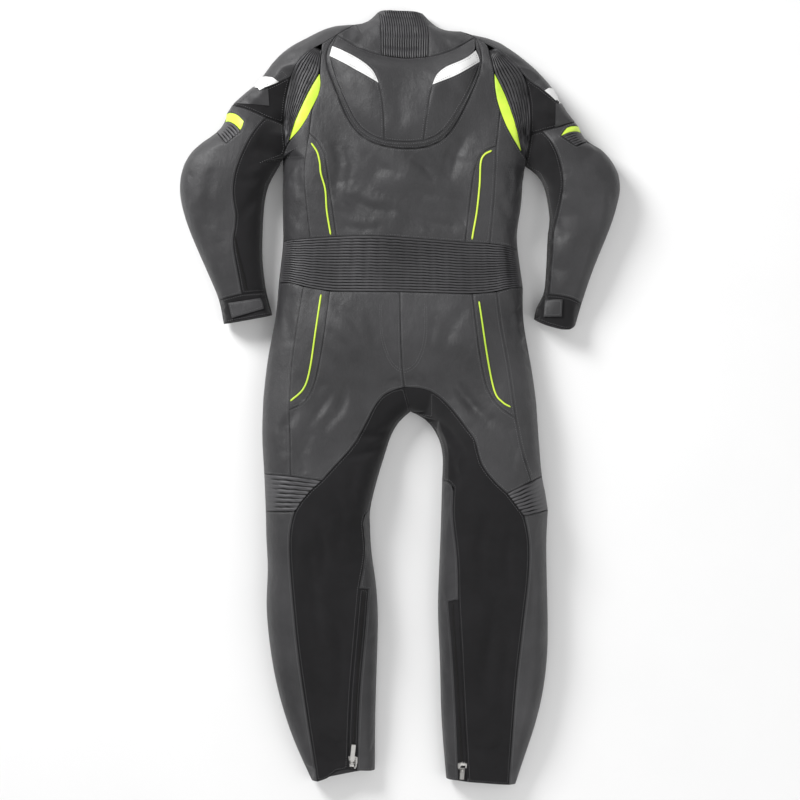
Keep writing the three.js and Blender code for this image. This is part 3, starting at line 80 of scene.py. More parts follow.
RIB_CLOTH = ["collar_rib", "lumbar_rib", "shoulder_rib_left", "shoulder_rib_right", "knee_rib_left",
             "knee_rib_right", "elbow_rib_left", "elbow_rib_right"]
# The panels with the most creases, which are divided most finely
FINE_CLOTH = {"back_main", "seat_left", "seat_right", "inner_stretch_left", "inner_stretch_right",
              "forearm_leather_left", "forearm_leather_right", "shin_left", "shin_right"}
STRETCH_NODES = {"inner_stretch_left", "inner_stretch_right", "forearm_stretch_left",
                 "forearm_stretch_right", "upper_sleeve_left", "upper_sleeve_right", "cuff_left",
                 "cuff_right", "calf_zip_left", "calf_zip_right", "front_zip"}
BRIGHT_NODES = {"shoulder_lens_left", "shoulder_lens_right", "elbow_band_left", "elbow_band_right"}
WHITE_NODES = {"hump_flash_left", "hump_flash_right"}

# Creases in plan, millimetres: depth (a ridge is negative), reach to either side, and the line
CREASES = [
    (3.0, 7, [(-120, 470), (-112, 440), (-118, 405)]),
    (2.5, 6, [(-98, 462), (-90, 436), (-96, 410)]),
    (3.0, 8, [(120, 486), (104, 455), (96, 420)]), (2.2, 6, [(96, 470), (86, 446), (84, 424)]),
    (2.6, 8, [(-60, 452), (-38, 430), (-8, 420)]), (2.4, 7, [(20, 452), (44, 436), (60, 412)]),
    (3.2, 9, [(-118, 380), (-86, 366), (-52, 352), (-20, 350)]),
    (2.0, 6, [(-112, 352), (-84, 344), (-60, 334)]),
    (2.6, 8, [(30, 388), (64, 380), (104, 370)]), (2.2, 7, [(24, 338), (58, 326), (96, 322)]),
    (2.0, 6, [(-100, 322), (-70, 316), (-44, 318)]),
    (-2.0, 9, [(-80, 384), (-50, 370), (-10, 364)]),
    (2.4, 6, [(-186, 440), (-192, 412), (-188, 388)]),
    (2.2, 6, [(204, 430), (208, 404), (204, 380)]),
    (2.4, 7, [(-192, 360), (-200, 336), (-208, 322)]),
    (2.0, 6, [(190, 372), (198, 350), (208, 336)]),
    (2.6, 8, [(-206, 190), (-212, 150), (-208, 110)]),
    (2.2, 7, [(204, 170), (210, 130), (206, 96)]),
    (2.4, 9, [(-118, 170), (-92, 150), (-70, 118)]), (2.0, 8, [(-128, 120), (-104, 96), (-88, 62)]),
    (2.6, 9, [(116, 160), (96, 136), (84, 100)]), (2.0, 7, [(130, 100), (114, 72), (108, 40)]),
    (2.2, 7, [(-60, 150), (-50, 120), (-46, 92)]), (2.0, 7, [(66, 150), (58, 120), (58, 88)]),
    (3.2, 8, [(-100, 20), (-112, -20), (-138, -52)]),
    (2.6, 7, [(-128, 10), (-150, -22), (-168, -46)]),
    (3.4, 9, [(112, 18), (140, -20), (166, -44)]), (2.6, 8, [(96, 40), (118, 6), (134, -14)]),
    (3.0, 8, [(-196, -24), (-214, -52), (-216, -96)]),
    (2.4, 7, [(-170, -70), (-184, -104), (-180, -134)]),
    (3.0, 8, [(206, -60), (216, -92), (210, -128)]),
    (2.4, 7, [(236, -40), (240, -80), (236, -120)]),
    (3.4, 7, [(-12, -58), (-44, -70), (-84, -72)]),
    (2.6, 6, [(-30, -86), (-62, -104), (-96, -112)]),
    (3.6, 7, [(44, -50), (74, -72), (92, -104)]), (3.0, 6, [(60, -40), (92, -62), (116, -96)]),
    (2.4, 6, [(98, -120), (106, -150), (102, -184)]),
    (2.2, 7, [(-84, -130), (-92, -170), (-84, -204)]),
    (2.6, 8, [(-120, -180), (-108, -220), (-112, -268)]),
    (2.2, 7, [(-150, -240), (-142, -290), (-146, -330)]),
    (2.6, 9, [(160, -230), (150, -280), (154, -330)]),
    (2.2, 7, [(206, -250), (200, -300), (204, -352)]),
    (2.8, 9, [(-168, -300), (-160, -370), (-152, -450)]),
    (2.2, 8, [(-118, -420), (-112, -500), (-116, -580)]),
    (2.6, 9, [(176, -380), (168, -460), (156, -540)]),
    (2.2, 8, [(206, -440), (196, -520), (190, -600)]),
    (2.4, 8, [(-196, -260), (-206, -340), (-200, -420)]),
    (2.0, 7, [(-188, -500), (-176, -580), (-166, -650)]),
    (2.4, 8, [(240, -280), (250, -350), (246, -430)]),
    (2.0, 7, [(232, -500), (222, -580), (216, -650)]),
    (2.6, 6, [(-140, -640), (-118, -652), (-98, -648)]),
    (2.2, 6, [(-146, -676), (-124, -690), (-106, -688)]),
    (2.6, 6, [(196, -652), (172, -664), (150, -660)]),
    (2.2, 6, [(198, -694), (174, -704), (152, -700)]),
    (3.0, 7, [(-300, 566), (-278, 552), (-250, 548)]),
    (2.4, 6, [(-262, 630), (-244, 612), (-222, 604)]),
    (3.0, 7, [(318, 546), (296, 528), (262, 522)]), (2.4, 6, [(272, 612), (254, 596), (246, 572)]),
    (3.2, 8, [(-252, 500), (-262, 470), (-282, 452)]),
    (2.6, 7, [(-244, 470), (-262, 444), (-290, 432)]),
    (2.2, 6, [(-258, 420), (-278, 410), (-300, 408)]),
    (2.4, 7, [(-264, 386), (-282, 366), (-296, 340)]),
    (3.2, 8, [(262, 482), (272, 452), (296, 436)]), (2.6, 7, [(256, 450), (276, 428), (300, 420)]),
    (2.2, 6, [(268, 400), (286, 388), (306, 384)]), (2.4, 7, [(276, 362), (290, 338), (300, 306)]),
    (2.4, 9, [(-372, 452), (-392, 418), (-396, 380)]),
    (2.0, 8, [(-352, 420), (-362, 372), (-356, 330)]),
    (2.2, 8, [(-342, 290), (-334, 250), (-324, 216)]),
    (2.4, 9, [(380, 442), (398, 408), (398, 372)]),
    (2.0, 8, [(352, 410), (364, 366), (360, 324)]), (2.2, 8, [(342, 282), (334, 244), (324, 212)]),
    (2.2, 6, [(-150, 700), (-170, 682), (-196, 664)]),
    (2.0, 6, [(-186, 650), (-206, 640), (-232, 634)]),
    (2.2, 6, [(160, 694), (182, 676), (206, 656)]), (2.0, 6, [(196, 644), (216, 632), (242, 622)]),
    (2.0, 7, [(-58, 690), (-70, 676), (-92, 664)]), (2.0, 7, [(70, 682), (84, 668), (106, 656)]),
    (2.4, 8, [(-4, 560), (2, 530), (-2, 500)]), (1.8, 8, [(-84, 610), (-78, 576), (-66, 546)]),
    (1.8, 8, [(98, 606), (92, 572), (80, 544)]),
]
# Creases pressed into the side that lies on the floor, raised off it
UNDER_CREASES = [
    (1.6, 9, [(-120, 430), (-70, 410), (-20, 416)]), (1.4, 8, [(40, 360), (90, 372), (140, 352)]),
    (1.8, 10, [(-170, 60), (-120, 30), (-60, 34)]), (1.6, 9, [(60, 20), (110, 34), (170, 10)]),
    (1.4, 9, [(-200, -180), (-150, -196), (-90, -184)]),
    (1.6, 9, [(110, -170), (170, -192), (240, -176)]),
    (1.4, 8, [(-330, 470), (-300, 450), (-262, 446)]),
    (1.4, 8, [(262, 440), (300, 452), (340, 466)]),
    (1.4, 10, [(-140, -400), (-128, -470), (-132, -540)]),
    (1.4, 10, [(160, -420), (168, -490), (160, -560)]),
]

# Trim laid on the cloth, as lines and outlines in plan, millimetres
PIPING = {
    "piping_back_left": [(-166, 477), (-155, 460), (-150, 440), (-148, 420), (-140, 390), (-137, 350),
                         (-130, 306)],
    "piping_back_right": [(172, 463), (158, 455), (151, 440), (149, 400), (144, 350), (138, 315),
                          (135, 297)],
    "piping_hip_left": [(-148, 194), (-158, 125), (-169, 53), (-181, 17), (-205, -6)],
    "piping_hip_right": [(148, 181), (163, 80), (177, 13), (192, -8), (207, -17)],
}
FLASHES = {
    "sleeve_flash_left": [(-265, 605), (-260, 607), (-240, 602), (-228, 594), (-250, 585), (-263, 578),
                          (-278, 591)],
    "sleeve_flash_right": [(292, 586), (280, 584), (272, 578), (290, 563), (300, 555), (307, 560),
                           (300, 573)],
}
SLEEVE_PATCHES = {
    "sleeve_patch_left": [(-278, 589), (-262, 576), (-248, 582), (-246, 550), (-318, 557)],
    "sleeve_patch_right": [(293, 558), (307, 558), (322, 540), (331, 524), (292, 510)],
}
SEAT_PAD = [(-38, 176), (-36, 120), (-26, 82), (-12, 58), (8, 48), (28, 58), (42, 82), (50, 120), (50, 172)]
PERFORATED = [[(-205, 372), (-186, 372), (-190, 332), (-207, 332)],
              [(201, 435), (226, 435), (228, 391), (204, 391)]]
CALF_ZIPS = {"left": [(-68, -362), (-76, -470), (-84, -600), (-89, -672)],
             "right": [(99, -384), (104, -470), (112, -600), (117, -690)]}
FOREARM_ZIPS = {"left": [(-312, 308), (-304, 270), (-295, 232), (-290, 204)],
                "right": [(285, 300), (283, 260), (280, 226), (279, 202)]}
SLIDER_PLACES = {"calf_zip_left": (-91, -690), "calf_zip_right": (118, -704)}
SLIDER_DEPTH, SLIDER_REACH = 4.3, 14    # below the tab's bar, and round it in plan

STITCH_FACES = [(0, 1, 4), (1, 5, 4), (1, 2, 5), (2, 3, 5), (3, 4, 5), (3, 0, 4), (0, 3, 1), (1, 3, 2)]
TOOTH_FACES = [(0, 3, 2, 1), (4, 5, 6, 7), (0, 1, 5, 4), (1, 2, 6, 5), (2, 3, 7, 6), (3, 0, 4, 7)]

FLOOR_REACH, FLOOR_TOP = 6, -0.0006
# Name, place and size in metres, and watts
LIGHTS = (("key_light", (-1.9, 2.1, 1.9), 1.2, 105),
          ("fill_light", (2.2, -0.6, 2.6), 2.4, 26),
          ("low_light", (0.2, -2.6, 2.0), 2.0, 18))


class RaceSuitSizes(bpy.types.PropertyGroup):
    """Sizes of the suit's stitching and trim"""
    stitch_pitch: FloatProperty(name="Stitch pitch", description="Distance from one stitch to the next",
                                default=4.4 * MM, unit="LENGTH")
    stitch_inset: FloatProperty(name="Stitch inset", description="Distance of a stitch row from its seam",
                                default=3.4 * MM, unit="LENGTH")
    piping_radius: FloatProperty(name="Piping radius", description="Radius of the bright piping",
                                 default=1.7 * MM, unit="LENGTH")
    patch_thickness: FloatProperty(name="Patch thickness", default=1.0 * MM, unit="LENGTH",
                                   description="Thickness of the sewn-on leather pieces")
    tooth_pitch: FloatProperty(name="Zip tooth pitch", default=2.8 * MM, unit="LENGTH",
                               description="Distance between teeth on one side of a zip")
    crease_depth: FloatProperty(name="Crease depth", default=1.7, min=0.0, max=2.0,
                                description="What the depths of the creases are multiplied by")


class RaceSuitColours(bpy.types.PropertyGroup):
    """Colours of the suit's leather, cloth and trim"""
    leather: FloatVectorProperty(name="Leather", description="Charcoal leather of the main panels",
                                 default=(0.034, 0.0335, 0.0355), subtype="COLOR", size=3)
    rib: FloatVectorProperty(name="Pleated leather", description="Leather of the ribbed panels",
                             default=(0.05, 0.049, 0.052), subtype="COLOR", size=3)
    stretch: FloatVectorProperty(name="Stretch cloth", description="Black woven stretch cloth",
                                 default=(0.009, 0.0085, 0.0095), subtype="COLOR", size=3)
    bright: FloatVectorProperty(name="Bright inlay", description="Yellow-green of the inlays and piping",
                                default=(0.62, 0.95, 0.07), subtype="COLOR", size=3)
    white: FloatVectorProperty(name="White inlay", description="White leather of the flashes",
                               default=(0.86, 0.86, 0.85), subtype="COLOR", size=3)
    thread: FloatVectorProperty(name="Thread", description="Grey sewing thread",
                                default=(0.17, 0.17, 0.175), subtype="COLOR", size=3)
    metal: FloatVectorProperty(name="Metal", description="Zip sliders and pull tabs",
                               default=(0.56, 0.55, 0.53), subtype="COLOR", size=3)


FINISHES = {}    # what was made, by its name
CLOTH = {}       # the dressed panels, by their nodes


def sizes():
    return bpy.context.scene.race_suit_sizes


def colours():
    return bpy.context.scene.race_suit_colours


# Finishes
def finish_nodes(name):
    """A new material with its tree, its shader and the object's own coordinates."""
    material = bpy.data.materials.new(name)
    material.use_nodes = True
    tree = material.node_tree
    shader = tree.nodes["Principled BSDF"]
    place = tree.nodes.new("ShaderNodeTexCoord")
    return material, tree, shader, place.outputs["Object"]


def shade_of(colour, share):
    return tuple(c * share for c in colour)


def noise(tree, place, scale, detail=4.0, rough=0.55, stretch=None):
    node = tree.nodes.new("ShaderNodeTexNoise")
    node.inputs["Scale"].default_value = scale
    node.inputs["Detail"].default_value = detail
    node.inputs["Roughness"].default_value = rough
    if stretch:
        mapping = tree.nodes.new("ShaderNodeMapping")
        mapping.inputs["Scale"].default_value = stretch
        tree.links.new(place, mapping.inputs["Vector"])
        place = mapping.outputs["Vector"]
    tree.links.new(place, node.inputs["Vector"])
    return node.outputs["Fac"]


def ramp(tree, source, low, high, first, last):
    node = tree.nodes.new("ShaderNodeValToRGB")
    node.color_ramp.elements[0].position = low
    node.color_ramp.elements[1].position = high
    node.color_ramp.elements[0].color = (*first, 1)
    node.color_ramp.elements[1].color = (*last, 1)
    tree.links.new(source, node.inputs["Fac"])
    return node.outputs["Color"]


def spread(tree, source, low, high):
    """A value between low and high, driven by a source from 0 to 1."""
    node = tree.nodes.new("ShaderNodeMapRange")
    node.inputs["To Min"].default_value = low
    node.inputs["To Max"].default_value = high
    tree.links.new(source, node.inputs["Value"])
    return node.outputs["Result"]


def bump(tree, height, strength, distance, below=None):
    node = tree.nodes.new("ShaderNodeBump")
    node.inputs["Strength"].default_value = strength
    node.inputs["Distance"].default_value = distance
    tree.links.new(height, node.inputs["Height"])
    if below:
        tree.links.new(below, node.inputs["Normal"])
    return node.outputs["Normal"]


def grained_leather(name, colour, roughness, grain, wrinkle, pleated=False):
    """Leather with worn patches, fine cells and soft wrinkles, with shade painted into the valleys between
    its pleats and light painted on their crests.
    """
    material, tree, shader, place = finish_nodes(name)
    worn = noise(tree, place, 9.0, 6.0, 0.6)
    dark = shade_of(colour, 0.72)
    light = tuple(min(1.0, c * 1.3 + 0.002) for c in colour)
    shade = ramp(tree, worn, 0.3, 0.72, dark, light)
    # Painted shade and light: the colour is darkened in the valleys between the pleats and lightened on
    # their crests, from the pleat attribute
    if pleated:
        height = tree.nodes.new("ShaderNodeAttribute")
        height.attribute_name = "pleat"
        painted_pleat_shading = ramp(tree, height.outputs["Fac"], 0.18, 0.8, (0.1, 0.1, 0.1), (1.25, 1.25, 1.25))
        mix = tree.nodes.new("ShaderNodeMix")
        mix.data_type = "RGBA"
        mix.blend_type = "MULTIPLY"
        mix.inputs["Factor"].default_value = 1.0
        tree.links.new(shade, mix.inputs["A"])
        tree.links.new(painted_pleat_shading, mix.inputs["B"])
        shade = mix.outputs["Result"]
    tree.links.new(shade, shader.inputs["Base Color"])
    tree.links.new(spread(tree, noise(tree, place, 26.0, 5.0), roughness - 0.09, roughness + 0.11),
                   shader.inputs["Roughness"])
    shader.inputs["Coat Weight"].default_value = 0.03
    shader.inputs["Coat Roughness"].default_value = 0.4
    shader.inputs["Specular IOR Level"].default_value = 0.45
    cells = tree.nodes.new("ShaderNodeTexVoronoi")
    cells.feature = "DISTANCE_TO_EDGE"
    cells.inputs["Scale"].default_value = GRAIN_SCALE
    tree.links.new(place, cells.inputs["Vector"])
    soft = bump(tree, noise(tree, place, 34.0, 5.0, 0.6, (1.0, 0.55, 1.0)), wrinkle, 0.004)
    fine = bump(tree, cells.outputs["Distance"], grain, 0.0007, soft)
    tree.links.new(fine, shader.inputs["Normal"])
    return material


def woven_stretch(name, colour):
    """Dull cloth with a fine weave both ways."""
    material, tree, shader, place = finish_nodes(name)
    fuzz = noise(tree, place, 14.0, 6.0, 0.6)
    shade = ramp(tree, fuzz, 0.3, 0.75, shade_of(colour, 0.75), shade_of(colour, 1.35))
    tree.links.new(shade, shader.inputs["Base Color"])
    shader.inputs["Roughness"].default_value = 0.92
    shader.inputs["Sheen Weight"].default_value = 0.18
    shader.inputs["Sheen Roughness"].default_value = 0.5
    shader.inputs["Specular IOR Level"].default_value = 0.25
    below = bump(tree, noise(tree, place, 30.0, 4.0), 0.25, 0.003)
    for direction in ("X", "Y"):
        wave = tree.nodes.new("ShaderNodeTexWave")
        wave.bands_direction = direction
        wave.inputs["Scale"].default_value = WEAVE_SCALE
        wave.inputs["Distortion"].default_value = 0.6
        tree.links.new(place, wave.inputs["Vector"])
        below = bump(tree, wave.outputs["Fac"], 0.22, 0.0005, below)
    tree.links.new(below, shader.inputs["Normal"])
    return material


def brushed_metal(name, colour):
    material, tree, shader, place = finish_nodes(name)
    streak = noise(tree, place, 900.0, 2.0, 0.5, (1.0, 0.1, 1.0))
    shade = ramp(tree, streak, 0.3, 0.7, shade_of(colour, 0.8), colour)
    tree.links.new(shade, shader.inputs["Base Color"])
    shader.inputs["Metallic"].default_value = 1.0
    tree.links.new(spread(tree, streak, 0.25, 0.42), shader.inputs["Roughness"])
    return material


def twisted_thread(name, colour):
    material, tree, shader, place = finish_nodes(name)
    strand = noise(tree, place, 800.0, 2.0)
    shade = ramp(tree, strand, 0.3, 0.7, shade_of(colour, 0.6), shade_of(colour, 1.3))
    tree.links.new(shade, shader.inputs["Base Color"])
    shader.inputs["Roughness"].default_value = 0.6
    return material


def finish(name):
    """The finish of that name, made when it's first asked for."""
    c = colours()
    makers = {
        "leather": lambda: grained_leather("charcoal_leather", tuple(c.leather), 0.48, 0.6, 0.62),
        "rib": lambda: grained_leather("pleated_leather", tuple(c.rib), 0.5, 0.25, 0.2, pleated=True),
        "stretch": lambda: woven_stretch("black_stretch_cloth", tuple(c.stretch)),
        "bright": lambda: grained_leather("bright_inlay", tuple(c.bright), 0.42, 0.12, 0.1),
        "white": lambda: grained_leather("white_leather", tuple(c.white), 0.42, 0.12, 0.1),
        "thread": lambda: twisted_thread("grey_thread", tuple(c.thread)),
        "metal": lambda: brushed_metal("zip_metal", tuple(c.metal)),
        "teeth": lambda: brushed_metal("dark_zip_teeth", shade_of(c.metal, 0.16)),
    }
    if name not in FINISHES:
        FINISHES[name] = makers[name]()
    return FINISHES[name]


def finish_of(node):
    if node in RIB_CLOTH:
        return "rib"
    if node in STRETCH_NODES:
        return "stretch"
    if node in BRIGHT_NODES:
        return "bright"
    return "white" if node in WHITE_NODES else "leather"


# Cloth panels
def new_piece(name, mesh, look):
    """An object for a mesh, with its finish and slot, that rides the suit."""
    piece = bpy.data.objects.new(name, mesh)
    bpy.context.scene.collection.objects.link(piece)
    mesh.materials.clear()
    mesh.materials.append(finish(look))
    mesh.shade_smooth()
    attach(piece, "suit")
    return piece


def distance_to(points, line):
    """The distance from each point to the nearest part of a line."""
    best = np.full(len(points), np.inf)
    for a, b in zip(line[:-1], line[1:]):
        a, b = np.array(a, float), np.array(b, float)
        span = b - a
        s = np.clip(((points - a) @ span) / (span @ span), 0, 1)
        best = np.minimum(best, np.hypot(*(points - a - s[:, None] * span).T))
    return best


def taper(points, line):
    """The share of its depth that a crease has at each point, least at its ends."""
    a, b = np.array(line[0], float), np.array(line[-1], float)
    s = ((points - a) @ (b - a)) / ((b - a) @ (b - a))
    return 0.45 + 0.55 * np.clip(np.sin(math.pi * np.clip(s, 0.08, 0.92)), 0, 1)


def creased(points, table, sign):
    """The lift that a table of creases gives each point, in millimetres."""
    lift = np.zeros(len(points))
    for depth, width, line in table:
        d = distance_to(points, line)
        lift -= sign * depth * np.exp(-((d / (width * 1.25)) ** 2)) * taper(points, line)
    return lift


def press_creases(mesh, front):
    """Press the creases into a mesh, from above, or from below for the front."""
    count = len(mesh.vertices)
    co = np.empty(count * 3)
    mesh.vertices.foreach_get("co", co)
    co = co.reshape(-1, 3)
    flat = co[:, :2] / MM
    table, sign = (UNDER_CREASES, -1) if front else (CREASES, 1)
    lift = creased(flat, table, sign) * MM * sizes().crease_depth
    if front:
        lift = np.maximum(lift, 0)
    co[:, 2] = np.maximum(co[:, 2] + lift, 0.0)
    mesh.vertices.foreach_set("co", co.ravel())
    mesh.update()


def rounding_level(node):
    if node in RIB_CLOTH or node in FRONT_CLOTH:
        return 1
    return 3 if node in FINE_CLOTH else 2


def worn_cloth(node):
    """A thin shell on the node's form, rounded between its seams and creased."""
    source = frame["nodes"][node]
    mesh = bpy.data.meshes.new(node + "_cloth")
    bm = bmesh.new()
    bm.from_mesh(source.data)
    bmesh.ops.remove_doubles(bm, verts=bm.verts, dist=WELD)
    crease = bm.edges.layers.float.new("crease_edge")
    for edge in bm.edges:
        if len(edge.link_faces) == 2 and edge.calc_face_angle(0.0) > HARD_EDGE:
            edge[crease] = 1.0
    area = sum(f.calc_area() for f in bm.faces) / 2
    bm.to_mesh(mesh)
    bm.free()
    piece = new_piece(node + "_cloth", mesh, finish_of(node))
    modifier = piece.modifiers.new("rounding", "SUBSURF")
    modifier.levels = modifier.render_levels = rounding_level(node)
    applied = bpy.data.meshes.new_from_object(piece.evaluated_get(bpy.context.evaluated_depsgraph_get()))
    piece.modifiers.clear()
    piece.data = applied
    piece.data.name = node + "_cloth"
    press_creases(piece.data, node in FRONT_CLOTH)
    turn_in_rims(piece.data, node in FRONT_CLOTH)
    piece.data.shade_smooth()
    sharpen_rims(piece.data)
    # The pleated panels get the mask for their painted valley shade and crest light
    if node in RIB_CLOTH:
        mark_pleat_shading(piece.data)
    if node in SLIDER_PLACES:
        metal_slider(piece, node)
    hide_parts(node)
    CLOTH[node] = piece


def sharpen_rims(mesh):
    """Shade the folds of a mesh as edges where they are steep."""
    bm = bmesh.new()
    bm.from_mesh(mesh)
    for edge in bm.edges:
        edge.smooth = edge.calc_face_angle(0.0) < SHARP_RIM
    bm.to_mesh(mesh)
    bm.free()


def metal_slider(piece, node):
    """Give the slider at the foot of a zip's tape its metal."""
    x, y = SLIDER_PLACES[node]
    side = node.rsplit("_", 1)[1]
    joint = next(j for j in frame["joints"] if j["child"].endswith(side))
    foot = joint["pos_m"][2] - SLIDER_DEPTH * MM
    piece.data.materials.append(finish("metal"))
    for face in piece.data.polygons:
        c = face.center
        if c.z > foot and math.hypot(c.x - x * MM, c.y - y * MM) < SLIDER_REACH * MM:
            face.material_index = 1


def mark_pleat_shading(mesh):
    """Store how far each point of a pleated panel stands out from the points round it, the mask from which
    shade is painted into the valleys between the pleats and light onto their crests.
    """
    bm = bmesh.new()
    bm.from_mesh(mesh)
    outs = []
    for vert in bm.verts:
        near = [e.other_vert(vert).co for e in vert.link_edges]
        mean = sum(near, Vector()) / len(near)
        outs.append((vert.co - mean).dot(vert.normal) / MM)
    bm.free()
    layer = mesh.attributes.new("pleat", "FLOAT", "POINT")
    layer.data.foreach_set("value", np.clip(0.5 + np.array(outs) / 1.6, 0, 1).astype(np.float32))


def turn_in_rims(mesh, front):
    """Draw the outer edge of a panel in towards its seam, as sewing does."""
    bm = bmesh.new()
    bm.from_mesh(mesh)
    sign = -1 if front else 1
    for vert in [v for v in bm.verts if any(e.calc_face_angle(0.0) > SHARP_RIM for e in v.link_edges)]:
        ups = [f.normal for f in vert.link_faces if f.normal.z * sign > 0.3]
        if ups:
            normal = sum(ups, Vector()).normalized()
            vert.co -= normal * (0.2 if front else 1.0) * MM
    bm.to_mesh(mesh)
    bm.free()


# Finding places on the dressed cloth, and trim laid on it
class Surface:
    """The dressed cloth, asked for its height and normal from above or below"""

    def __init__(self):
        verts, faces = [], []
        for piece in CLOTH.values():
            base = len(verts)
            verts.extend(v.co.copy() for v in piece.data.vertices)
            faces.extend(tuple(base + i for i in p.vertices) for p in piece.data.polygons)
        self.tree = BVHTree.FromPolygons(verts, faces)

    def on(self, x, y, out=0.0, below=False):
        """The place on the cloth at x, y, that far out of it, and the normal there, or None"""
        start, ray = ((x, y, -0.1), (0, 0, 1)) if below else ((x, y, 0.4), (0, 0, -1))
        hit = self.tree.ray_cast(Vector(start), Vector(ray))
        if hit[0] is None or (not below and hit[0].z < 0.008):
            return None
        normal = hit[1] if hit[1].z * ray[2] < 0 else -hit[1]
        return hit[0] + normal * out, normal


def smooth_line(line, step):
    """Points at an even step, in metres, along a smooth curve through a line in millimetres."""
    knots = [Vector((x, y, 0)) * MM for x, y in line]
    knots = [2 * knots[0] - knots[1], *knots, 2 * knots[-1] - knots[-2]]
    fine = []
    for a, b, c, d in zip(knots, knots[1:], knots[2:], knots[3:]):
        for i in range(24):
            t = i / 24
            fine.append(0.5 * (2 * b + (c - a) * t + (2 * a - 5 * b + 4 * c - d) * t * t
                               + (3 * b - a - 3 * c + d) * t ** 3))
    fine.append(knots[-2])
    return even_steps(fine, step)


def even_steps(points, step):
    lengths = [0.0]
    for a, b in zip(points, points[1:]):
        lengths.append(lengths[-1] + (b - a).length)
    count = max(1, round(lengths[-1] / step))
    found, k = [], 0
    for i in range(count + 1):
        s = lengths[-1] * i / count
        while k + 2 < len(lengths) and lengths[k + 1] < s:
            k += 1
        span = lengths[k + 1] - lengths[k] or 1.0
        found.append(points[k].lerp(points[k + 1], min(1.0, (s - lengths[k]) / span)))
    return found


def tube(points, normals, radius, sides=8):
    """A round cord along points, drawn in at its two ends."""
    verts, faces = [], []
    for i, (p, n) in enumerate(zip(points, normals)):
        ahead = (points[min(i + 1, len(points) - 1)] - points[max(i - 1, 0)]).normalized()
        side = ahead.cross(n).normalized()
        end = 0.35 if i in (0, len(points) - 1) else 1.0
        for k in range(sides):
            a = 2 * math.pi * k / sides
            verts.append(p + (side * math.cos(a) + n * math.sin(a)) * radius * end)
    for i in range(len(points) - 1):
        for k in range(sides):
            a, b = i * sides + k, i * sides + (k + 1) % sides
            faces.append((a, b, b + sides, a + sides))
    faces.append(tuple(range(sides))[::-1])
    faces.append(tuple((len(points) - 1) * sides + k for k in range(sides)))
    return verts, faces


def mesh_of(name, verts, faces):
    mesh = bpy.data.meshes.new(name)
    mesh.from_pydata([tuple(v) for v in verts], [], faces)
    mesh.validate()
    bm = bmesh.new()
    bm.from_mesh(mesh)
    bmesh.ops.recalc_face_normals(bm, faces=bm.faces)
    bm.to_mesh(mesh)
    bm.free()
    return mesh


def inside(p, polygon):
    """Whether a point lies in a polygon, by the sides that a line from it crosses."""
    odd = False
    for (ax, ay), (bx, by) in zip(polygon, polygon[1:] + polygon[:1]):
        if (ay > p[1]) != (by > p[1]) and p[0] < (bx - ax) * (p[1] - ay) / (by - ay) + ax:
            odd = not odd
    return odd


def sewn_patch(surface, name, polygon, look, step=4.0):
    """A thin piece of leather laid on the cloth inside an outline."""
    border = []
    for (ax, ay), (bx, by) in zip(polygon, polygon[1:] + polygon[:1]):
        n = max(1, round(math.hypot(bx - ax, by - ay) / step))
        border += [(ax + (bx - ax) * i / n, ay + (by - ay) * i / n) for i in range(n)]
    xs, ys = zip(*polygon)
    grid = [(x, y) for x in np.arange(min(xs), max(xs), step) for y in np.arange(min(ys), max(ys), step)]
    away = distance_to(np.array(grid), border + border[:1]) > step * 0.5
    field = [p for p, clear in zip(grid, away) if clear and inside(p, polygon)]
    count = len(border)
    plan, _, tris, *_ = delaunay_2d_cdt([Vector(p) for p in border + field],
                                        [(i, (i + 1) % count) for i in range(count)], [], 1, 1e-6)
    low, high = [], []
    for p in plan:
        place, normal = surface.on(p.x * MM, p.y * MM) or surface.on(p.x * MM * 0.99, p.y * MM)
        low.append(place + normal * 0.1 * MM)
        high.append(place + normal * sizes().patch_thickness)
    n = len(plan)
    edges = dict.fromkeys((a, b) for t in tris for a, b in zip(t, t[1:] + t[:1]))
    rim = [(a, b) for a, b in edges if (b, a) not in edges]
    faces = [tuple(t) for t in tris] + [tuple(n + i for i in t[::-1]) for t in tris]
    faces += [(b, a, n + a, n + b) for a, b in rim]
    piece = new_piece(name, mesh_of(name, high + low, faces), look)
    sharpen_rims(piece.data)


def stitch(verts, faces, a, b, normal, width=0.55 * MM, high=0.6 * MM):
    """Add one stitch from a to b, its ends sunk in the cloth."""
    ahead = (b - a).normalized()
    side = ahead.cross(normal) * width
    base = len(verts)
    middle = (a + b) / 2
    verts += [a - normal * high * 0.4, middle + side, b - normal * high * 0.4, middle - side,
              a.lerp(b, 0.3) + normal * high, a.lerp(b, 0.7) + normal * high]
    faces += [tuple(base + i for i in t) for t in STITCH_FACES]


def stitch_row(surface, verts, faces, line, below=False):
    """Stitches along a line, left out where the cloth steps or stands upright."""
    pitch = sizes().stitch_pitch
    for a, b in zip(line, line[1:]):
        p, q = a.lerp(b, 0.16), a.lerp(b, 0.8)
        first = surface.on(p.x, p.y, 0.05 * MM, below)
        second = surface.on(q.x, q.y, 0.05 * MM, below)
        if first and second and (first[0] - second[0]).length < pitch * 1.6 and abs(first[1].z) > 0.2:
            stitch(verts, faces, first[0], second[0], first[1])


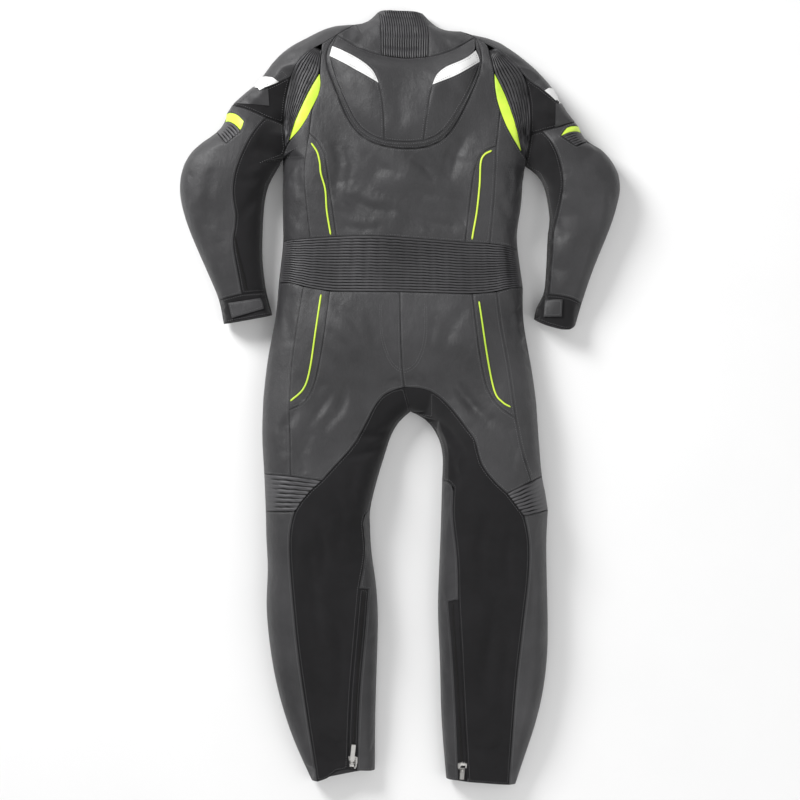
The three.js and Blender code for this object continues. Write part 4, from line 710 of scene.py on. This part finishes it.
def outer_rings(node, below):
    """The rings of points round a panel's outer face, the one that looks up or, below, down."""
    bm = bmesh.new()
    bm.from_mesh(frame["nodes"][node].data)
    bmesh.ops.remove_doubles(bm, verts=bm.verts, dist=WELD)
    sign = -1 if below else 1
    onward = {}
    marked = set()
    stack = [max(bm.faces, key=lambda f: sign * f.normal.z)]
    while stack:
        face = stack.pop()
        if face in marked:
            continue
        marked.add(face)
        for edge in face.edges:
            if edge.calc_face_angle(0.0) < FACE_EDGE:
                stack += [f for f in edge.link_faces if f not in marked]
    for face in [f for f in bm.faces if f in marked]:    # in the mesh's order, the same at each run
        for loop in face.loops:
            if all(f in marked for f in loop.edge.link_faces):
                continue
            onward[loop.vert.index] = loop.link_loop_next.vert.index
    co = {v.index: v.co.copy() for v in bm.verts}
    bm.free()
    rings = []
    while onward:
        ring, at = [], next(iter(onward))
        while at in onward:
            ring.append(co[at])
            at = onward.pop(at)
        if len(ring) > 3:
            rings.append(ring)
    return rings


def seam_loops(node, below):
    """The border of a panel's outer face in plan, moved inwards by the stitch inset."""
    moved = []
    for ring in outer_rings(node, below):
        flat = [Vector((p.x, p.y, 0)) for p in ring]
        n = len(flat)
        ahead = flat[1:] + flat[:1]
        turn = sum(p.x * q.y - q.x * p.y for p, q in zip(flat, ahead))
        hand = 1 if turn > 0 else -1
        line = []
        for i in range(n):
            u = (flat[i] - flat[i - 1]).normalized()
            v = (ahead[i] - flat[i]).normalized()
            w = Vector((-(u.y + v.y), u.x + v.x, 0)) * hand
            if w.length < 1e-6:
                continue
            scale = 1 / max(0.5, math.sqrt(max(0.0, (1 + u.dot(v)) / 2)))
            line.append(flat[i] + w.normalized() * sizes().stitch_inset * scale)
        if line:
            line.append(line[0])
            moved.append(even_steps(line, sizes().stitch_pitch))
    return moved


def dress(nodes):
    for node in nodes:
        worn_cloth(node)


class SUIT_OT_stage(bpy.types.Operator):
    """Lay the pale floor, hang the soft lights and set the camera straight above"""
    bl_idname = "race_suit.stage"
    bl_label = "Stage"

    def execute(self, context):
        scene = context.scene
        corners = [(x * FLOOR_REACH, y * FLOOR_REACH, FLOOR_TOP)
                   for x, y in ((-1, -1), (1, -1), (1, 1), (-1, 1))]
        mesh = mesh_of("floor", corners, [(0, 1, 2, 3)])
        floor = bpy.data.objects.new("floor", mesh)
        scene.collection.objects.link(floor)
        material, tree, shader, place = finish_nodes("pale_floor")
        tree.links.new(ramp(tree, noise(tree, place, 3.0), 0.3, 0.7, (0.9, 0.9, 0.9), (0.92, 0.92, 0.92)),
                       shader.inputs["Base Color"])
        shader.inputs["Roughness"].default_value = 0.9
        mesh.materials.append(material)
        world = bpy.data.worlds.new("soft_studio")
        world.use_nodes = True
        world.node_tree.nodes["Background"].inputs["Color"].default_value = (1, 1, 1, 1)
        world.node_tree.nodes["Background"].inputs["Strength"].default_value = 0.46
        scene.world = world
        for name, place, size, power in LIGHTS:
            light = bpy.data.lights.new(name, "AREA")
            light.size = size
            light.energy = power
            lamp = bpy.data.objects.new(name, light)
            scene.collection.objects.link(lamp)
            lamp.location = place
            lamp.rotation_euler = (-Vector(place)).to_track_quat("-Z", "Y").to_euler()
        camera = bpy.data.cameras.new("overhead_camera")
        camera.lens = 89.3
        camera.sensor_width = 36.0
        holder = bpy.data.objects.new("overhead_camera", camera)
        scene.collection.objects.link(holder)
        holder.location = (0, -0.0038, 3.8)
        scene.camera = holder
        scene.view_settings.view_transform = "Standard"
        return {"FINISHED"}


class SUIT_OT_back(bpy.types.Operator):
    """Sew the leather of the back, its strips, sides and yokes"""
    bl_idname = "race_suit.back"
    bl_label = "Back leather"

    def execute(self, context):
        dress(BACK_CLOTH)
        return {"FINISHED"}


class SUIT_OT_hump(bpy.types.Operator):
    """Sew the hump, its insets, white flashes and rim"""
    bl_idname = "race_suit.hump"
    bl_label = "Hump"

    def execute(self, context):
        dress(HUMP_CLOTH)
        return {"FINISHED"}


class SUIT_OT_sleeves(bpy.types.Operator):
    """Sew the shoulders, sleeves, cuffs and wrist straps"""
    bl_idname = "race_suit.sleeves"
    bl_label = "Sleeves"

    def execute(self, context):
        dress(SLEEVE_CLOTH)
        return {"FINISHED"}


class SUIT_OT_legs(bpy.types.Operator):
    """Sew the seat, legs and calf zip tapes"""
    bl_idname = "race_suit.legs"
    bl_label = "Seat and legs"

    def execute(self, context):
        dress(LEG_CLOTH)
        return {"FINISHED"}


class SUIT_OT_front(bpy.types.Operator):
    """Sew the front panels that lie on the floor"""
    bl_idname = "race_suit.front"
    bl_label = "Front panels"

    def execute(self, context):
        dress(FRONT_CLOTH)
        return {"FINISHED"}


class SUIT_OT_ribs(bpy.types.Operator):
    """Sew the pleated panels at the collar, waist, shoulders, elbows and knees"""
    bl_idname = "race_suit.ribs"
    bl_label = "Pleated panels"

    def execute(self, context):
        dress(RIB_CLOTH)
        return {"FINISHED"}


class SUIT_OT_trim(bpy.types.Operator):
    """Sew on the bright piping, the white sleeve flashes and the sleeve patches"""
    bl_idname = "race_suit.trim"
    bl_label = "Piping and patches"

    def execute(self, context):
        surface = Surface()
        for name, line in PIPING.items():
            hits = [surface.on(p.x, p.y, 0.4 * MM) for p in smooth_line(line, 3 * MM)]
            hits = [h for h in hits if h]
            verts, faces = tube([h[0] for h in hits], [h[1] for h in hits], sizes().piping_radius)
            new_piece(name, mesh_of(name, verts, faces), "bright")
        for name, outline in SLEEVE_PATCHES.items():
            sewn_patch(surface, name, outline, "leather")
        for name, outline in FLASHES.items():
            sewn_patch(surface, name, outline, "white")
        return {"FINISHED"}


class SUIT_OT_zips(bpy.types.Operator):
    """Set the teeth of the calf and forearm zips and the metal of the pull tabs"""
    bl_idname = "race_suit.zips"
    bl_label = "Zips"

    def execute(self, context):
        surface = Surface()
        for group, lines in (("calf", CALF_ZIPS), ("forearm", FOREARM_ZIPS)):
            for side, line in lines.items():
                verts, faces = [], []
                points = smooth_line(line, sizes().tooth_pitch / 2)
                for i in range(1, len(points) - 1):
                    ahead = (points[i + 1] - points[i - 1]).normalized()
                    across = Vector((-ahead.y, ahead.x, 0)) * (0.8 * MM if i % 2 else -0.8 * MM)
                    hit = surface.on(points[i].x + across.x, points[i].y + across.y, 0.45 * MM)
                    if not hit:
                        continue
                    p, n = hit
                    u, v = ahead * 0.45 * MM, across.normalized() * 1.25 * MM
                    base = len(verts)
                    for h, shrink in ((-0.5, 1.0), (0.5, 0.75)):
                        for su, sv in ((-1, -1), (1, -1), (1, 1), (-1, 1)):
                            verts.append(p + u * su * shrink + v * sv * shrink + n * h * MM)
                    faces += [tuple(base + k for k in f) for f in TOOTH_FACES]
                name = f"{group}_zip_teeth_{side}"
                teeth = new_piece(name, mesh_of(name, verts, faces), "teeth")
                teeth.data.shade_flat()
        for side in ("left", "right"):
            tab = frame["nodes"][f"pull_tab_{side}"]
            tab.data.materials.clear()
            tab.data.materials.append(finish("metal"))
        return {"FINISHED"}


class SUIT_OT_stitching(bpy.types.Operator):
    """Run the stitch rows beside the seams, round the seat pad, and the perforations"""
    bl_idname = "race_suit.stitching"
    bl_label = "Stitching"

    def execute(self, context):
        surface = Surface()
        groups = {"stitching_back": (BACK_CLOTH + HUMP_CLOTH, False),
                  "stitching_sleeves": ([n for n in SLEEVE_CLOTH if n not in BRIGHT_NODES], False),
                  "stitching_legs": (LEG_CLOTH, False), "stitching_front": (FRONT_CLOTH, True)}
        for name, (nodes, below) in groups.items():
            verts, faces = [], []
            for node in nodes:
                for line in seam_loops(node, below):
                    stitch_row(surface, verts, faces, line, below)
            if name == "stitching_legs":
                for shift in (0, 5):
                    pad = [(x * (1 - shift / 60), y + shift) for x, y in SEAT_PAD]
                    stitch_row(surface, verts, faces, smooth_line(pad, sizes().stitch_pitch))
            new_piece(name, mesh_of(name, verts, faces), "thread")
        verts, faces = [], []
        for outline in PERFORATED:
            xs, ys = zip(*outline)
            for row, y in enumerate(np.arange(min(ys), max(ys), HOLE_PITCH)):
                for x in np.arange(min(xs) + (row % 2) * HOLE_PITCH / 2, max(xs), HOLE_PITCH):
                    hit = surface.on(x * MM, y * MM, 0.12 * MM)
                    if not inside((x, y), outline) or not hit:
                        continue
                    p, n = hit
                    u = n.orthogonal().normalized()
                    w = n.cross(u)
                    base = len(verts)
                    for k in range(6):
                        turn = k * math.pi / 3
                        verts.append(p + (u * math.cos(turn) + w * math.sin(turn)) * HOLE_RADIUS * MM)
                    faces.append(tuple(base + k for k in range(6)))
        new_piece("perforations", mesh_of("perforations", verts, faces), "stretch")
        return {"FINISHED"}


class SUIT_PT_panel(bpy.types.Panel):
    """Builds the suit piece by piece"""
    bl_label = "Race Suit"
    bl_idname = "SUIT_PT_panel"
    bl_space_type = "VIEW_3D"
    bl_region_type = "UI"
    bl_category = "Race Suit"

    def draw(self, context):
        layout = self.layout
        for group in (context.scene.race_suit_sizes, context.scene.race_suit_colours):
            for name in group.__annotations__:
                layout.prop(group, name)
        for operator in OPERATORS:
            layout.operator(operator.bl_idname)


OPERATORS = (SUIT_OT_stage, SUIT_OT_back, SUIT_OT_hump, SUIT_OT_sleeves, SUIT_OT_legs, SUIT_OT_front,
             SUIT_OT_ribs, SUIT_OT_trim, SUIT_OT_zips, SUIT_OT_stitching)
CLASSES = (RaceSuitSizes, RaceSuitColours, *OPERATORS, SUIT_PT_panel)


def register():
    for cls in CLASSES:
        bpy.utils.register_class(cls)
    bpy.types.Scene.race_suit_sizes = PointerProperty(type=RaceSuitSizes)
    bpy.types.Scene.race_suit_colours = PointerProperty(type=RaceSuitColours)


def unregister():
    del bpy.types.Scene.race_suit_colours
    del bpy.types.Scene.race_suit_sizes
    for cls in reversed(CLASSES):
        bpy.utils.unregister_class(cls)


def main():
    register()
    for operator in OPERATORS:
        group, name = operator.bl_idname.split(".")
        getattr(getattr(bpy.ops, group), name)()


if __name__ == "__main__":
    main()
